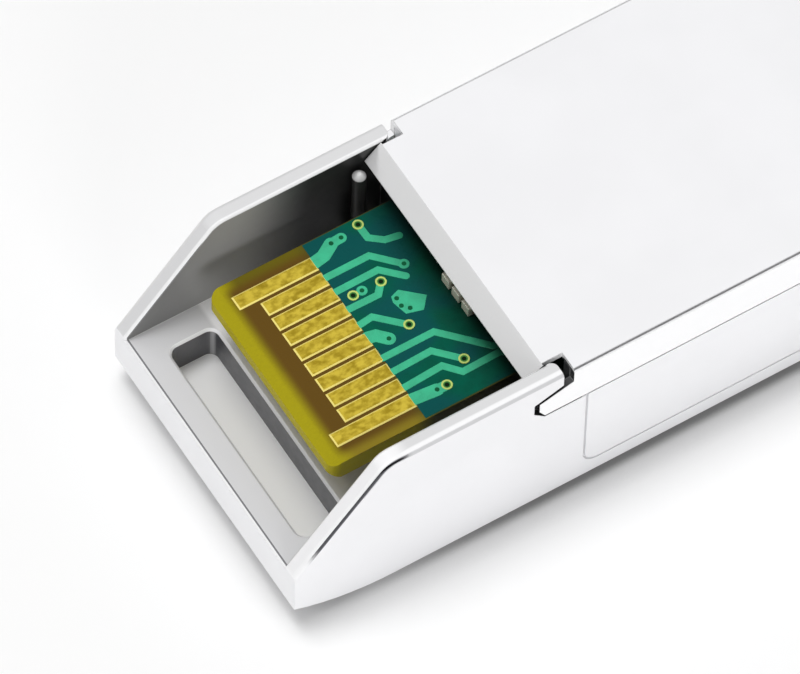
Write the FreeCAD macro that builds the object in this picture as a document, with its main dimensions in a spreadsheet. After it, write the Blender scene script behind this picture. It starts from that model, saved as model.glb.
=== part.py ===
import FreeCAD, Part
import math
import os
import Sketcher

# Pluggable optical transceiver, in millimetres. It lies with the connector opening up:
# +X runs from the card edge to the fibre ports, +Z is up, and z = 0 is the flat face it lies on.
# Every body is drawn from its rear end and moved back by half the overall length.

V = FreeCAD.Vector
doc = FreeCAD.newDocument("sfp_plus_transceiver")
sheet = doc.addObject("Spreadsheet::Sheet", "Sizes")

SIZES = [
    # shell
    ("overall_length", 56.5), ("body_width", 13.4), ("body_height", 8.5),
    ("wall_thick", 0.75), ("sheet_thick", 0.3), ("seat_gap", 0.02),
    ("nose_length", 16.1), ("front_step", 0.15), ("rim_round", 0.22), ("rim_break", 0.08),
    ("foot_break", 0.22),
    # tail
    ("lead_run", 4.6), ("lead_rise", 1.1), ("slope_run", 4.08), ("shoulder_drop", 2.0),
    ("rim_bend", 1.0), ("bay_end", 11.6), ("rim_end", 12.0), ("rim_low", 0.12),
    ("relief_drop", 1.5), ("relief_round", 0.3),
    ("slot_start", 1.22), ("slot_end", 3.29), ("slot_side_gap", 1.0), ("slot_depth", 1.75),
    ("slot_round", 0.4), ("slot_break", 0.1), ("slot_shift", 0.2),
    ("post_place", 10.3), ("post_round", 0.28), ("post_inset", 0.45), ("post_drop", 0.7),
    ("post_dome", 0.2),
    # board bay and optics bay
    ("cavity_floor", 1.2), ("ledge_width", 1.0), ("ledge_cross", 0.8), ("bay_clear", 0.8),
    ("optics_clear", 0.45), ("optics_wall", 0.6),
    # panel on each side, outlined by a fine groove
    ("panel_start", 13.08), ("panel_setback", 6.4), ("panel_low", 1.0), ("panel_round", 0.7),
    ("groove_width", 0.09), ("groove_depth", 0.12),
    # cover
    ("flange_drop", 2.28), ("bend_round", 0.3), ("lip_edge", 11.52), ("lip_reach", 0.74),
    ("lip_side_gap", 0.05), ("notch_side_gap", 0.15), ("flange_start", 12.46),
    ("flange_gap", 0.08),
    ("tongue_tip", 10.94), ("tongue_drop", 0.86), ("tongue_tip_drop", 1.33),
    ("tongue_low_drop", 1.85), ("tongue_foot", 11.2), ("tongue_gap", 0.1), ("tip_gap", 0.24),
    ("cover_end_gap", 0.1), ("tab_reach", 0.6), ("tab_side", 1.1), ("tab_width", 2.0),
    ("tab_gap", 0.04), ("snap_setback", 10.4), ("snap_length", 1.6), ("snap_height", 0.8),
    ("snap_proud", 0.2), ("snap_gap", 0.1),
    # board and contacts
    ("board_drop", 2.1), ("board_thick", 1.0), ("board_edge", 2.9), ("card_side_gap", 1.35),
    ("card_round", 0.45), ("board_side_gap", 0.25), ("board_step", 11.9),
    ("board_setback", 8.2), ("bevel_run", 0.45), ("bevel_drop", 0.22),
    ("contact_pitch", 0.8), ("contact_width", 0.66), ("contact_thick", 0.05),
    ("contact_long", 3.57), ("contact_short", 4.4), ("contact_inner", 7.145),
    # parts on the board, the packages placed and sized as shares of the wide stretch of board
    ("chip_length", 1.0), ("chip_width", 0.5), ("chip_height", 0.5), ("chip_end_length", 0.2),
    ("chip_place", 10.95), ("chip_first", 0.19), ("chip_pitch", 0.72), ("chip_row_share", 0.32),
    ("ic_height", 0.8), ("controller_share", 0.1), ("amplifier_share", 0.4),
    ("driver_share", 0.62), ("large_ic_share", 0.2), ("small_ic_share", 0.15),
    ("pad_inset", 0.3),
    # optics
    ("port_side", 4.56), ("port_wall", 0.195), ("header_gap", 0.425), ("can_step", 0.4),
    ("collar_step", 0.1), ("barrel_step", 0.65), ("barrel_gap", 0.06), ("barrel_length", 4.6),
    ("collar_thick", 0.85), ("nozzle_round", 1.45), ("nozzle_length", 5.0),
    ("bulkhead_thick", 1.5), ("nozzle_gap", 0.12), ("sleeve_round", 1.0), ("sleeve_gap", 0.02),
    ("ferrule_bore", 0.635), ("light_bore", 0.4), ("sleeve_length", 4.6),
    ("can_length", 2.4), ("header_thick", 1.1), ("lead_round", 0.22), ("lead_circle", 1.27),
    ("lead_length", 0.4), ("flex_thick", 0.12), ("flex_bend", 0.5), ("flex_step", 0.6),
    ("flex_lap", 2.2), ("flex_reach", 2.15), ("clamp_length", 2.0), ("clamp_setback", 0.23),
    ("clamp_side_gap", 0.2), ("clamp_gap", 0.06),
    # ports
    ("nose_wall", 0.35), ("insert_low", 0.7), ("insert_drop", 0.3), ("port_roof", 0.22),
    ("insert_gap", 0.03), ("insert_setback", 0.2), ("latch_slot_half", 1.45),
    ("latch_slot_share", 0.234),
    # nose, stop flange and bail seat
    ("stop_setback", 9.0), ("stop_thick", 3.7), ("stop_overhang", 0.3), ("stop_rise", 0.5),
    ("bail_seat_depth", 1.05), ("step_run", 1.6), ("step_rise", 0.7), ("step_slope", 0.6),
    ("nose_break", 0.5),
    # rocker, pin, spring
    ("latch_to_stop", 2.5), ("channel_half", 3.15), ("channel_lead", 3.8),
    ("channel_drop", 1.65), ("tee_side", 1.05), ("tee_lead", 0.4), ("tee_setback", 1.3),
    ("pivot_setback", 0.9), ("pivot_drop", 0.6), ("pin_round", 0.4), ("pin_gap", 0.03),
    ("pin_inset", 0.1), ("hub_round", 0.7), ("rocker_drop", 0.7), ("rocker_thick", 0.6),
    ("rocker_lead", 1.1), ("rocker_gap", 0.2), ("wing_reach", 1.0),
    ("boss_length", 2.6), ("boss_half", 1.3), ("boss_rise", 0.45), ("boss_flat", 0.4),
    ("spring_thick", 0.12), ("spring_half", 2.2), ("spring_foot_lead", 2.0),
    ("spring_bend_lead", 0.4), ("spring_tip_lead", 1.8), ("spring_gap", 0.04),
    # bail
    ("trunnion_setback", 3.3), ("trunnion_round", 0.6), ("trunnion_gap", 0.05),
    ("cam_round", 0.35), ("cam_throw", 0.1556), ("cam_gap", 0.05), ("cam_width", 1.1),
    ("arm_gap", 0.1), ("arm_thick", 0.8), ("arm_round", 0.95), ("arm_foot_half", 0.7),
    ("bar_setback", 1.5), ("bar_length", 1.2), ("bar_low", 0.05), ("bar_thick", 0.6),
    ("arm_foot_rise", 1.5),
    # spring clip
    ("clip_lead", 1.3), ("clip_length", 4.7), ("clip_thick", 0.15), ("clip_drop", 1.5),
    ("finger_bulge", 0.32), ("finger_gap", 0.3), ("finger_low", 1.0), ("finger_top", 0.9),
    ("finger_inset", 0.6),
]


class Dim:
    """A length held both as a number and as a formula on the size sheet."""

    def __init__(self, value, text):
        self.value = float(value)
        self.text = text

    def __add__(self, other):
        other = dim(other)
        return Dim(self.value + other.value, "(%s + %s)" % (self.text, other.text))

    def __sub__(self, other):
        other = dim(other)
        return Dim(self.value - other.value, "(%s - %s)" % (self.text, other.text))

    def __mul__(self, other):
        other = dim(other)
        return Dim(self.value * other.value, "(%s * %s)" % (self.text, other.text))

    def __truediv__(self, other):
        other = dim(other)
        return Dim(self.value / other.value, "(%s / %s)" % (self.text, other.text))

    def __neg__(self):
        return dim(0) - self

    def __radd__(self, other):
        return dim(other) + self

    def __rsub__(self, other):
        return dim(other) - self

    def __rmul__(self, other):
        return dim(other) * self


def dim(value):
    return value if isinstance(value, Dim) else Dim(value, "(%r)" % float(value))


def root(value):
    return Dim(math.sqrt(value.value), "sqrt(%s)" % value.text)


class Sheet:
    pass


s = Sheet()
for row, (name, value) in enumerate(SIZES, start=1):
    sheet.set("A%d" % row, name)
    sheet.set("B%d" % row, str(value))
    sheet.setAlias("B%d" % row, name)
    setattr(s, name, Dim(value, "Sizes." + name))
doc.recompute()

made = []


def new_body(label):
    body = doc.addObject("PartDesign::Body", label)
    body.Label = label
    body.AllowCompound = True
    body.setExpression("Placement.Base.x", (-(s.overall_length / 2)).text)
    made.append(body)
    return body


def plane(body, role):
    return [o for o in body.Origin.OriginFeatures if o.Role == role][0]


def arc(p, q, radius, ccw):
    chord = q - p
    middle = (p + q) * 0.5
    rise = math.sqrt(max(radius * radius - chord.Length * chord.Length / 4, 0.0))
    side = V(-chord.y, chord.x, 0).normalize() * (rise if ccw else -rise)
    centre = middle + side
    first, last = (p, q) if ccw else (q, p)
    start = math.atan2(first.y - centre.y, first.x - centre.x)
    end = math.atan2(last.y - centre.y, last.x - centre.x)
    return Part.ArcOfCircle(Part.Circle(centre, V(0, 0, 1), radius), start, end)


def pin_point(rules, links, geo, pos, x, y):
    for kind, axis, value in (("DistanceX", -2, x), ("DistanceY", -1, y)):
        if value.value == 0 and "Sizes" not in value.text:
            rules.append(Sketcher.Constraint("PointOnObject", geo, pos, axis))
        else:
            rules.append(Sketcher.Constraint(kind, -1, 1, geo, pos, value.value))
            links.append((len(rules) - 1, value))


def draw(sk, loop):
    first = sk.GeometryCount
    rules, links, shapes, starts = [], [], [], []
    if loop[0] == "circle":
        cx, cy, radius = [dim(v) for v in loop[1:]]
        shapes.append(Part.Circle(V(cx.value, cy.value, 0), V(0, 0, 1), radius.value))
        sk.addGeometry(shapes, False)
        pin_point(rules, links, first, 3, cx, cy)
        rules.append(Sketcher.Constraint("Radius", first, radius.value))
        links.append((len(rules) - 1, radius))
    else:
        corners = [(dim(c[0]), dim(c[1])) + tuple(c[2:]) for c in loop]
        count = len(corners)
        for i, a in enumerate(corners):
            b = corners[(i + 1) % count]
            p, q = V(a[0].value, a[1].value, 0), V(b[0].value, b[1].value, 0)
            if len(a) == 3:
                radius, ccw = a[2]
                shapes.append(arc(p, q, radius.value, ccw))
                starts.append(1 if ccw else 2)
                rules.append(Sketcher.Constraint("Radius", first + i, radius.value))
                links.append((len(rules) - 1, radius))
            else:
                shapes.append(Part.LineSegment(p, q))
                starts.append(1)
        sk.addGeometry(shapes, False)
        for i, a in enumerate(corners):
            nxt = (i + 1) % count
            rules.append(Sketcher.Constraint("Coincident", first + i, 3 - starts[i],
                                             first + nxt, starts[nxt]))
            pin_point(rules, links, first + i, starts[i], a[0], a[1])
    ids = sk.addConstraint(rules)
    for index, value in links:
        if "Sizes" in value.text:
            number = ids[index]
            sk.renameConstraint(number, "size%d" % number)
            sk.setExpression("Constraints.size%d" % number, value.text)


def sketch(body, name, role, loops, away=None, lift=None):
    sk = body.newObject("Sketcher::SketchObject", name)
    sk.AttachmentSupport = [(plane(body, role), "")]
    sk.MapMode = "FlatFace"
    if away is not None:
        sk.setExpression("AttachmentOffset.Base.z", dim(away).text)
    if lift is not None:
        sk.setExpression("AttachmentOffset.Base.y", dim(lift).text)
    for loop in loops:
        draw(sk, loop)
    return sk


def feature(body, kind, name, profile, length, both=False, back=False):
    item = body.newObject("PartDesign::" + kind, name)
    item.Profile = profile
    item.setExpression("Length", dim(length).text)
    item.Midplane = both
    item.Reversed = back
    profile.Visibility = False
    body.Tip = item
    return item


def pad(body, name, role, loops, length, away=None, both=False, back=False):
    return feature(body, "Pad", name, sketch(body, name + "_sketch", role, loops, away),
                   length, both, back)


def pocket(body, name, role, loops, length, away=None, both=False, back=False):
    return feature(body, "Pocket", name, sketch(body, name + "_sketch", role, loops, away),
                   length, both, back)


def side_pockets(body, name, loops, outer, depth):
    """The same cut into both side faces, which lie at y = outer and y = -outer."""
    pocket(body, name + "_right", "XZ_Plane", loops, depth, away=outer)
    pocket(body, name + "_left", "XZ_Plane", loops, depth, away=-outer, back=True)


def turned(body, name, loop, across, up):
    """A solid of revolution about a line along X at y = across, z = up."""
    sk = sketch(body, name + "_sketch", "XZ_Plane", [loop], away=-dim(across), lift=up)
    item = body.newObject("PartDesign::Revolution", name)
    item.Profile = sk
    item.ReferenceAxis = (sk, ["H_Axis"])
    item.Angle = 360
    sk.Visibility = False
    body.Tip = item
    return item


def rect(x0, y0, x1, y1):
    return [(x0, y0), (x1, y0), (x1, y1), (x0, y1)]


def rounded(x0, y0, x1, y1, r):
    return [(x0 + r, y0), (x1 - r, y0, (r, True)), (x1, y0 + r), (x1, y1 - r, (r, True)),
            (x1 - r, y1), (x0 + r, y1, (r, True)), (x0, y1 - r), (x0, y0 + r, (r, True))]


def edges_where(item, test):
    """Names of the edges whose end points all pass the test."""
    names = []
    for i, edge in enumerate(item.Shape.Edges, start=1):
        ends = [v.Point for v in edge.Vertexes]
        if ends and all(test(p) for p in ends):
            names.append("Edge%d" % i)
    return names


def dress(body, kind, name, size, test):
    doc.recompute()
    base = body.Tip
    item = body.newObject("PartDesign::" + kind, name)
    item.Base = (base, edges_where(base, test))
    item.setExpression("Radius" if kind == "Fillet" else "Size", size.text)
    body.Tip = item
    return item


def near(a, b):
    return abs(a - b) < 0.01


# widths, worked out from the body's width
half = s.body_width / 2
inner = half - s.wall_thick
front_half = half + s.front_step
stop_half = half + s.stop_overhang
seat_half = stop_half - s.bail_seat_depth
insert_half = seat_half - s.nose_wall
port_half = insert_half - s.port_wall - s.port_side / 2
optics_half = half - s.optics_wall
header_round = port_half - s.header_gap
card = inner - s.card_side_gap
wide = inner - s.board_side_gap
tee_half = seat_half - s.tee_side
wing_half = tee_half - s.rocker_gap
slot_half = inner - s.slot_side_gap
lip_half = inner - s.lip_side_gap
notch_half = inner - s.notch_side_gap
tab_outer = half - s.tab_side
tab_inner = tab_outer - s.tab_width
clamp_half = optics_half - s.clamp_side_gap
collar_round = header_round - s.collar_step
can_round = header_round - s.can_step
barrel_round = header_round - s.barrel_step
flex_width = 2 * (header_round - s.flex_step)
cam_inner = wing_half - s.cam_width

# heights, worked out from the body's height
crown = s.body_height
under = crown - s.sheet_thick
flange_low = crown - s.flange_drop
board_top = crown - s.board_drop
board_under = board_top - s.board_thick
tail_floor = board_under - s.shoulder_drop
stop_top = crown + s.stop_rise
channel_floor = crown - s.channel_drop
rocker_low = crown - s.rocker_drop
pivot_z = crown - s.pivot_drop
trunnion_z = rocker_low - s.cam_round + s.cam_throw - s.cam_gap
insert_high = channel_floor - s.insert_drop
axis_z = insert_high - s.port_roof - s.port_side / 2
clip_high = crown - s.clip_drop
optics_floor = axis_z - header_round - s.optics_clear
slot_floor = tail_floor - s.slot_depth
post_top = crown - s.post_drop
tongue_high = crown - s.tongue_drop
tongue_tip_high = crown - s.tongue_tip_drop
tongue_tip_low = crown - s.tongue_low_drop
boss_top = crown + s.boss_rise
flex_low = axis_z - s.flex_reach
port_low = axis_z - s.port_side / 2
latch_slot_low = port_low - (port_low - s.insert_low) * (1 - s.latch_slot_share)
finger_height = (clip_high - s.finger_low - s.finger_top - 2 * s.finger_gap) / 3

# places along the length, worked out from the front end
front = s.overall_length
nose_start = front - s.nose_length
stop_start = front - s.stop_setback
stop_end = stop_start + s.stop_thick
latch_shoulder = stop_start - s.latch_to_stop
channel_start = latch_shoulder - s.channel_lead
pivot_x = stop_end - s.pivot_setback
trunnion_x = front - s.trunnion_setback
bar_start = front - s.bar_setback
bulkhead_start = nose_start + s.barrel_length
bulkhead_end = bulkhead_start + s.bulkhead_thick
barrel_back = nose_start - s.seat_gap - s.collar_thick
header_back = barrel_back - s.can_length - s.header_thick
flex_x = header_back - s.lead_length - s.flex_thick
board_front = nose_start - s.board_setback
board_bay_end = board_front + s.bay_clear
board_run = board_front - s.board_step
clip_start = nose_start + s.clip_lead
clip_end = clip_start + s.clip_length
panel_end = nose_start - s.panel_setback
snap_x = nose_start - s.snap_setback
nozzle_end = bulkhead_start + s.nozzle_length
clamp_start = barrel_back - s.clamp_length - s.clamp_setback
flex_end = board_front - s.flex_lap
tee_start = stop_end + s.tee_lead
tee_end = front - s.tee_setback
rocker_rear = channel_start + s.rocker_lead
wing_start = trunnion_x - s.wing_reach
rocker_front = trunnion_x + s.wing_reach
spring_foot = latch_shoulder + s.spring_foot_lead
spring_bend = latch_shoulder + s.spring_bend_lead
spring_tip = latch_shoulder - s.spring_tip_lead
large_ic = s.large_ic_share * board_run
small_ic = s.small_ic_share * board_run
controller_x = s.board_step + s.controller_share * board_run
amplifier_x = s.board_step + s.amplifier_share * board_run
driver_x = s.board_step + s.driver_share * board_run
chip_row_x = s.board_step + s.chip_row_share * board_run
beyond = dim(1)

# base housing: tail with lead-in and sloped walls, then the thicker nose and its stop flange
base = new_body("base_housing")
slope_low = tail_floor + s.rim_low


def on_rim(p):
    """Whether a point lies on the sloped or level top line of the side walls."""
    share = p.x / s.slope_run.value
    return near(p.z, min(crown.value, slope_low.value + share * (crown - slope_low).value))


lead_arc = (s.lead_run * s.lead_run + s.lead_rise * s.lead_rise) / (2 * s.lead_rise)
slope_rise = crown - slope_low
slope_length = root(s.slope_run * s.slope_run + slope_rise * slope_rise)
bend_run = s.rim_bend * (slope_length - s.slope_run) / slope_rise
pad(base, "tail_block", "XZ_Plane", [[
    (0, s.lead_rise, (lead_arc, True)), (s.lead_run, 0), (nose_start, 0),
    (nose_start, crown), (s.slope_run + bend_run, crown, (s.rim_bend, True)),
    (s.slope_run - bend_run * s.slope_run / slope_length,
     crown - bend_run * slope_rise / slope_length), (0, slope_low)]], s.body_width, both=True)
dress(base, "Fillet", "rim_rounding", s.rim_round,
      lambda p: near(abs(p.y), half.value) and on_rim(p))
dress(base, "Chamfer", "foot_breaking", s.foot_break,
      lambda p: near(abs(p.y), half.value) and p.z < s.lead_rise.value + 0.01)
pad(base, "nose_block", "XZ_Plane", [[
    (nose_start, 0), (front, 0), (front, crown - s.nose_break),
    (front - s.nose_break, crown), (nose_start, crown)]], 2 * front_half, both=True)
pad(base, "stop_flange", "XZ_Plane",
    [rect(stop_start, 0, stop_end, stop_top)], 2 * stop_half, both=True)

# bays that open upwards
pocket(base, "tail_bay", "XY_Plane", [rect(-beyond, -inner, s.bay_end, inner)],
       crown - tail_floor, away=crown)
dress(base, "Chamfer", "rim_breaking", s.rim_break,
      lambda p: near(abs(p.y), inner.value) and on_rim(p))
pocket(base, "board_bay", "XY_Plane", [rect(s.bay_end, -inner, board_bay_end, inner)],
       crown - board_under, away=crown)
well = inner - s.ledge_width
pocket(base, "board_well", "XY_Plane",
       [rect(s.bay_end + s.ledge_cross, -well, board_bay_end, well)],
       crown - s.cavity_floor, away=crown)
pocket(base, "optics_bay", "XY_Plane",
       [rect(board_bay_end - s.ledge_cross / 2, -optics_half, nose_start, optics_half)],
       crown - optics_floor, away=crown)

# seat of the cover: lowered wall tops and a rebate along each side
pocket(base, "cover_seat", "XY_Plane",
       [rect(s.rim_end, -half - beyond, nose_start, half + beyond)],
       s.sheet_thick, away=crown)
gap = s.tongue_gap
rebate_low = flange_low - s.flange_gap
side_pockets(base, "flange_rebate", [[
    (s.tongue_tip - s.tip_gap, tongue_tip_low), (s.tongue_foot, rebate_low),
    (nose_start, rebate_low), (nose_start, crown + beyond), (s.rim_end, crown + beyond),
    (s.rim_end, tongue_high + gap), (s.tongue_tip - s.tip_gap, tongue_tip_high + gap)]],
    half, s.sheet_thick + s.seat_gap)

# relief through each wall between the rounded end of its rim and the cover's flange
c = s.relief_round
outside = half + beyond
pocket(base, "corner_relief", "XY_Plane", [
    [(s.rim_end, outside), (s.rim_end, inner + c, (c, False)), (s.rim_end - c, inner),
     (s.rim_end - c, inner - c), (s.flange_start, inner - c), (s.flange_start, outside)],
    [(s.rim_end, -outside), (s.flange_start, -outside), (s.flange_start, c - inner),
     (s.rim_end - c, c - inner), (s.rim_end - c, -inner, (c, False)),
     (s.rim_end, -inner - c)]],
    s.relief_drop, away=crown)

# slot across the tail floor, a little off the middle
slot_right = -slot_half - s.slot_shift
slot_left = slot_half - s.slot_shift
pocket(base, "floor_slot", "XY_Plane",
       [rounded(s.slot_start, slot_right, s.slot_end, slot_left, s.slot_round)],
       tail_floor - slot_floor, away=tail_floor)
dress(base, "Chamfer", "slot_breaking", s.slot_break,
      lambda p: near(p.z, tail_floor.value)
      and slot_right.value - 0.01 < p.y < slot_left.value + 0.01
      and s.slot_start.value - 0.01 < p.x < s.slot_end.value + 0.01)

# fine groove that outlines the panel on each side and runs out under the cover's flange
panel_top = flange_low + s.panel_round
g = s.groove_width
side_pockets(base, "panel_groove", [
    rounded(s.panel_start, s.panel_low, panel_end, panel_top, s.panel_round),
    rounded(s.panel_start + g, s.panel_low + g, panel_end - g, panel_top - g,
            s.panel_round - g)],
    half, s.groove_depth)

# round post against the left wall near the end of the cover
post_y = inner - s.post_inset
pad(base, "post", "XY_Plane", [("circle", s.post_place, post_y, s.post_round)],
    post_top - tail_floor, away=tail_floor)
dress(base, "Chamfer", "post_crown", s.post_dome,
      lambda p: near(p.z, post_top.value) and near(p.y, post_y.value))

# snaps that enter the windows of the cover's flanges
snap_half = s.snap_length / 2
snap_mid = crown - s.flange_drop / 2 - s.sheet_thick / 2
snap_base = half - s.sheet_thick - s.seat_gap
for side, sign in (("right", -1), ("left", 1)):
    pad(base, "snap_" + side, "XY_Plane",
        [[(snap_x - snap_half, sign * (snap_base - s.seat_gap)),
          (snap_x - snap_half, sign * (snap_base + s.snap_proud)),
          (snap_x + snap_half, sign * (snap_base + s.snap_proud)),
          (snap_x + snap_half, sign * (snap_base - s.seat_gap))]],
        s.snap_height, away=snap_mid - s.snap_height / 2)

# bores for the optics and the opening of the fibre ports
pocket(base, "barrel_bores", "YZ_Plane",
       [("circle", port_half, axis_z, barrel_round + s.barrel_gap),
        ("circle", -port_half, axis_z, barrel_round + s.barrel_gap)],
       bulkhead_start - nose_start + beyond, away=bulkhead_start)
pocket(base, "nozzle_bores", "YZ_Plane",
       [("circle", port_half, axis_z, s.nozzle_round + s.nozzle_gap),
        ("circle", -port_half, axis_z, s.nozzle_round + s.nozzle_gap)],
       s.bulkhead_thick + beyond, away=bulkhead_end)
opening_half = insert_half + s.insert_gap
pocket(base, "port_opening", "YZ_Plane",
       [rect(-opening_half, s.insert_low, opening_half, insert_high + s.insert_gap)],
       front - bulkhead_end + beyond, away=front + beyond)

# slots that take the two front tabs of the cover
tab_low = under - s.sheet_thick - 2 * s.tab_gap
for side, sign in (("right", -1), ("left", 1)):
    pocket(base, "tab_slot_" + side, "YZ_Plane",
           [rect(sign * (tab_inner - s.tab_gap), tab_low - s.tab_gap,
                 sign * (tab_outer + s.tab_gap), under + s.tab_gap)],
           s.tab_reach + s.tab_gap, away=nose_start, back=True)

# channel of the rocker, its pin holes, the bail's seats, holes and the step under its bar
pocket(base, "rocker_channel", "XY_Plane", [[
    (channel_start, -s.channel_half), (tee_start, -s.channel_half),
    (tee_start, -tee_half), (tee_end, -tee_half), (tee_end, tee_half),
    (tee_start, tee_half), (tee_start, s.channel_half),
    (channel_start, s.channel_half)]],
    stop_top - channel_floor + beyond, away=stop_top + beyond)
pocket(base, "pin_holes", "XZ_Plane",
       [("circle", pivot_x, pivot_z, s.pin_round + s.pin_gap)],
       2 * stop_half + beyond, both=True)
side_pockets(base, "bail_seat",
             [rect(stop_end, -beyond, front + beyond, crown + beyond)],
             stop_half, s.bail_seat_depth)
pocket(base, "trunnion_holes", "XZ_Plane",
       [("circle", trunnion_x, trunnion_z, s.trunnion_round + s.trunnion_gap)],
       2 * stop_half, both=True)
step_x = front - s.step_run
pocket(base, "bar_step", "XZ_Plane", [[
    (step_x, -beyond), (front + beyond, -beyond),
    (front + beyond, s.step_rise + (s.step_run + beyond) * s.step_slope),
    (step_x, s.step_rise)]], 2 * stop_half + beyond, both=True)

# shallow seat of the spring clip under the nose and up both sides
clip_seat = s.clip_thick + s.seat_gap
pocket(base, "clip_seat_low", "XZ_Plane",
       [rect(clip_start - s.seat_gap, -beyond, clip_end + s.seat_gap, clip_seat)],
       2 * stop_half + beyond, both=True)
side_pockets(base, "clip_seat_side",
             [rect(clip_start - s.seat_gap, -beyond, clip_end + s.seat_gap,
                   clip_high + s.seat_gap)], front_half, clip_seat)

# cover: plate with two folded flanges, notched rear corners, 45 degree lip and front tabs
cover = new_body("cover")
cover_end = nose_start - s.cover_end_gap
b = s.bend_round
pad(cover, "folded_plate", "YZ_Plane", [[
    (-half, flange_low), (-(half - s.sheet_thick), flange_low),
    (-(half - s.sheet_thick), under), (half - s.sheet_thick, under),
    (half - s.sheet_thick, flange_low), (half, flange_low),
    (half, crown - b, (b, True)), (half - b, crown), (-(half - b), crown, (b, True)),
    (-half, crown - b)]], cover_end - s.tongue_tip, away=s.tongue_tip)
side_pockets(cover, "flange_end", [[
    (s.tongue_tip - beyond, crown + beyond), (s.flange_start, crown + beyond),
    (s.flange_start, tongue_high), (s.tongue_tip, tongue_tip_high),
    (s.tongue_tip, tongue_tip_low), (s.tongue_foot, flange_low),
    (s.tongue_foot, flange_low - beyond), (s.tongue_tip - beyond, flange_low - beyond)]],
    half, half - notch_half)
pocket(cover, "plate_end", "XY_Plane",
       [rect(s.tongue_tip - beyond, -notch_half, s.lip_edge, notch_half)],
       s.sheet_thick, away=crown)
skew = s.sheet_thick / root(dim(2))
inset = s.sheet_thick * (root(dim(2)) - 1)
pad(cover, "lip", "XZ_Plane", [[
    (s.lip_edge, crown), (s.lip_edge - s.lip_reach, crown - s.lip_reach),
    (s.lip_edge - s.lip_reach + skew, crown - s.lip_reach - skew),
    (s.lip_edge + inset, under)]], 2 * lip_half, both=True)
window_half = snap_half + s.snap_gap
window_rise = s.snap_height / 2 + s.snap_gap
side_pockets(cover, "snap_window",
             [rect(snap_x - window_half, snap_mid - window_rise,
                   snap_x + window_half, snap_mid + window_rise)],
             half, s.sheet_thick + beyond / 2)
for side, sign in (("right", -1), ("left", 1)):
    middle = (tab_inner + tab_outer) / 2
    pad(cover, "front_tab_" + side, "XZ_Plane", [[
        (cover_end - s.tab_reach, under), (cover_end - s.tab_reach, tab_low + s.tab_gap),
        (nose_start + s.tab_reach, tab_low + s.tab_gap),
        (nose_start + s.tab_reach, under - s.tab_gap), (cover_end, under - s.tab_gap),
        (cover_end, under)]], tab_outer - tab_inner, away=-(sign * middle), both=True)

# board with the narrow card edge, rounded corners and bevelled end
board = new_body("circuit_board")
spread = wide - card
r = s.card_round
pad(board, "board_plate", "XY_Plane", [[
    (s.board_edge + r, -card), (s.board_step, -card), (s.board_step + spread, -wide),
    (board_front, -wide), (board_front, wide), (s.board_step + spread, wide),
    (s.board_step, card), (s.board_edge + r, card, (r, True)),
    (s.board_edge, card - r), (s.board_edge, -card + r, (r, True))]],
    s.board_thick, away=board_under)
pocket(board, "card_bevel", "XZ_Plane", [
    [(s.board_edge - beyond, board_top + beyond),
     (s.board_edge - beyond, board_top - s.bevel_drop * (1 + beyond / s.bevel_run)),
     (s.board_edge + s.bevel_run, board_top),
     (s.board_edge + s.bevel_run, board_top + beyond)],
    [(s.board_edge - beyond, board_under - beyond),
     (s.board_edge + s.bevel_run, board_under - beyond),
     (s.board_edge + s.bevel_run, board_under),
     (s.board_edge - beyond, board_under + s.bevel_drop * (1 + beyond / s.bevel_run))]],
    2 * wide + beyond, both=True)

# ten contacts on each face, the outer two longer than the rest
contact_loops = []
for i in range(10):
    y = s.contact_pitch * (4.5 - i)
    start = s.contact_long if i in (0, 9) else s.contact_short
    contact_loops.append(rect(start, y - s.contact_width / 2,
                              s.contact_inner, y + s.contact_width / 2))
pad(new_body("contacts_upper"), "contact_plates", "XY_Plane", contact_loops,
    s.contact_thick, away=board_top)
pad(new_body("contacts_lower"), "contact_plates_low", "XY_Plane", contact_loops,
    s.contact_thick, away=board_under - s.contact_thick)

# chip parts: a row of three at the end of the cover and two rows farther in
places = [(s.chip_place, s.chip_first - i * s.chip_pitch) for i in range(3)]
places += [(chip_row_x, s.chip_pitch * (i - 2.5)) for i in range(6)]
places += [(driver_x, sign * (large_ic / 2 + s.chip_pitch)) for sign in (-1, 1)]
cw = s.chip_width / 2
e = s.chip_end_length
pad(new_body("chip_bodies"), "chip_blocks", "XY_Plane",
    [rect(x + e, y - cw, x + s.chip_length - e, y + cw) for x, y in places],
    s.chip_height, away=board_top)
pad(new_body("chip_ends"), "chip_caps", "XY_Plane",
    [rect(x, y - cw, x + e, y + cw) for x, y in places]
    + [rect(x + s.chip_length - e, y - cw, x + s.chip_length, y + cw) for x, y in places],
    s.chip_height, away=board_top)

# square packages, and the soft pad between the largest one and the cover
for label, x, side in (("controller_ic", controller_x, large_ic),
                       ("amplifier_ic", amplifier_x, small_ic),
                       ("driver_ic", driver_x, large_ic)):
    pad(new_body(label), label + "_block", "XY_Plane",
        [rect(x, -(side / 2), x + side, side / 2)], s.ic_height, away=board_top)
ic_top = board_top + s.ic_height
pad(new_body("thermal_pad"), "thermal_block", "XY_Plane",
    [rect(driver_x + s.pad_inset, -(large_ic / 2 - s.pad_inset),
          driver_x + large_ic - s.pad_inset, large_ic / 2 - s.pad_inset)],
    under - ic_top, away=ic_top)

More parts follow.
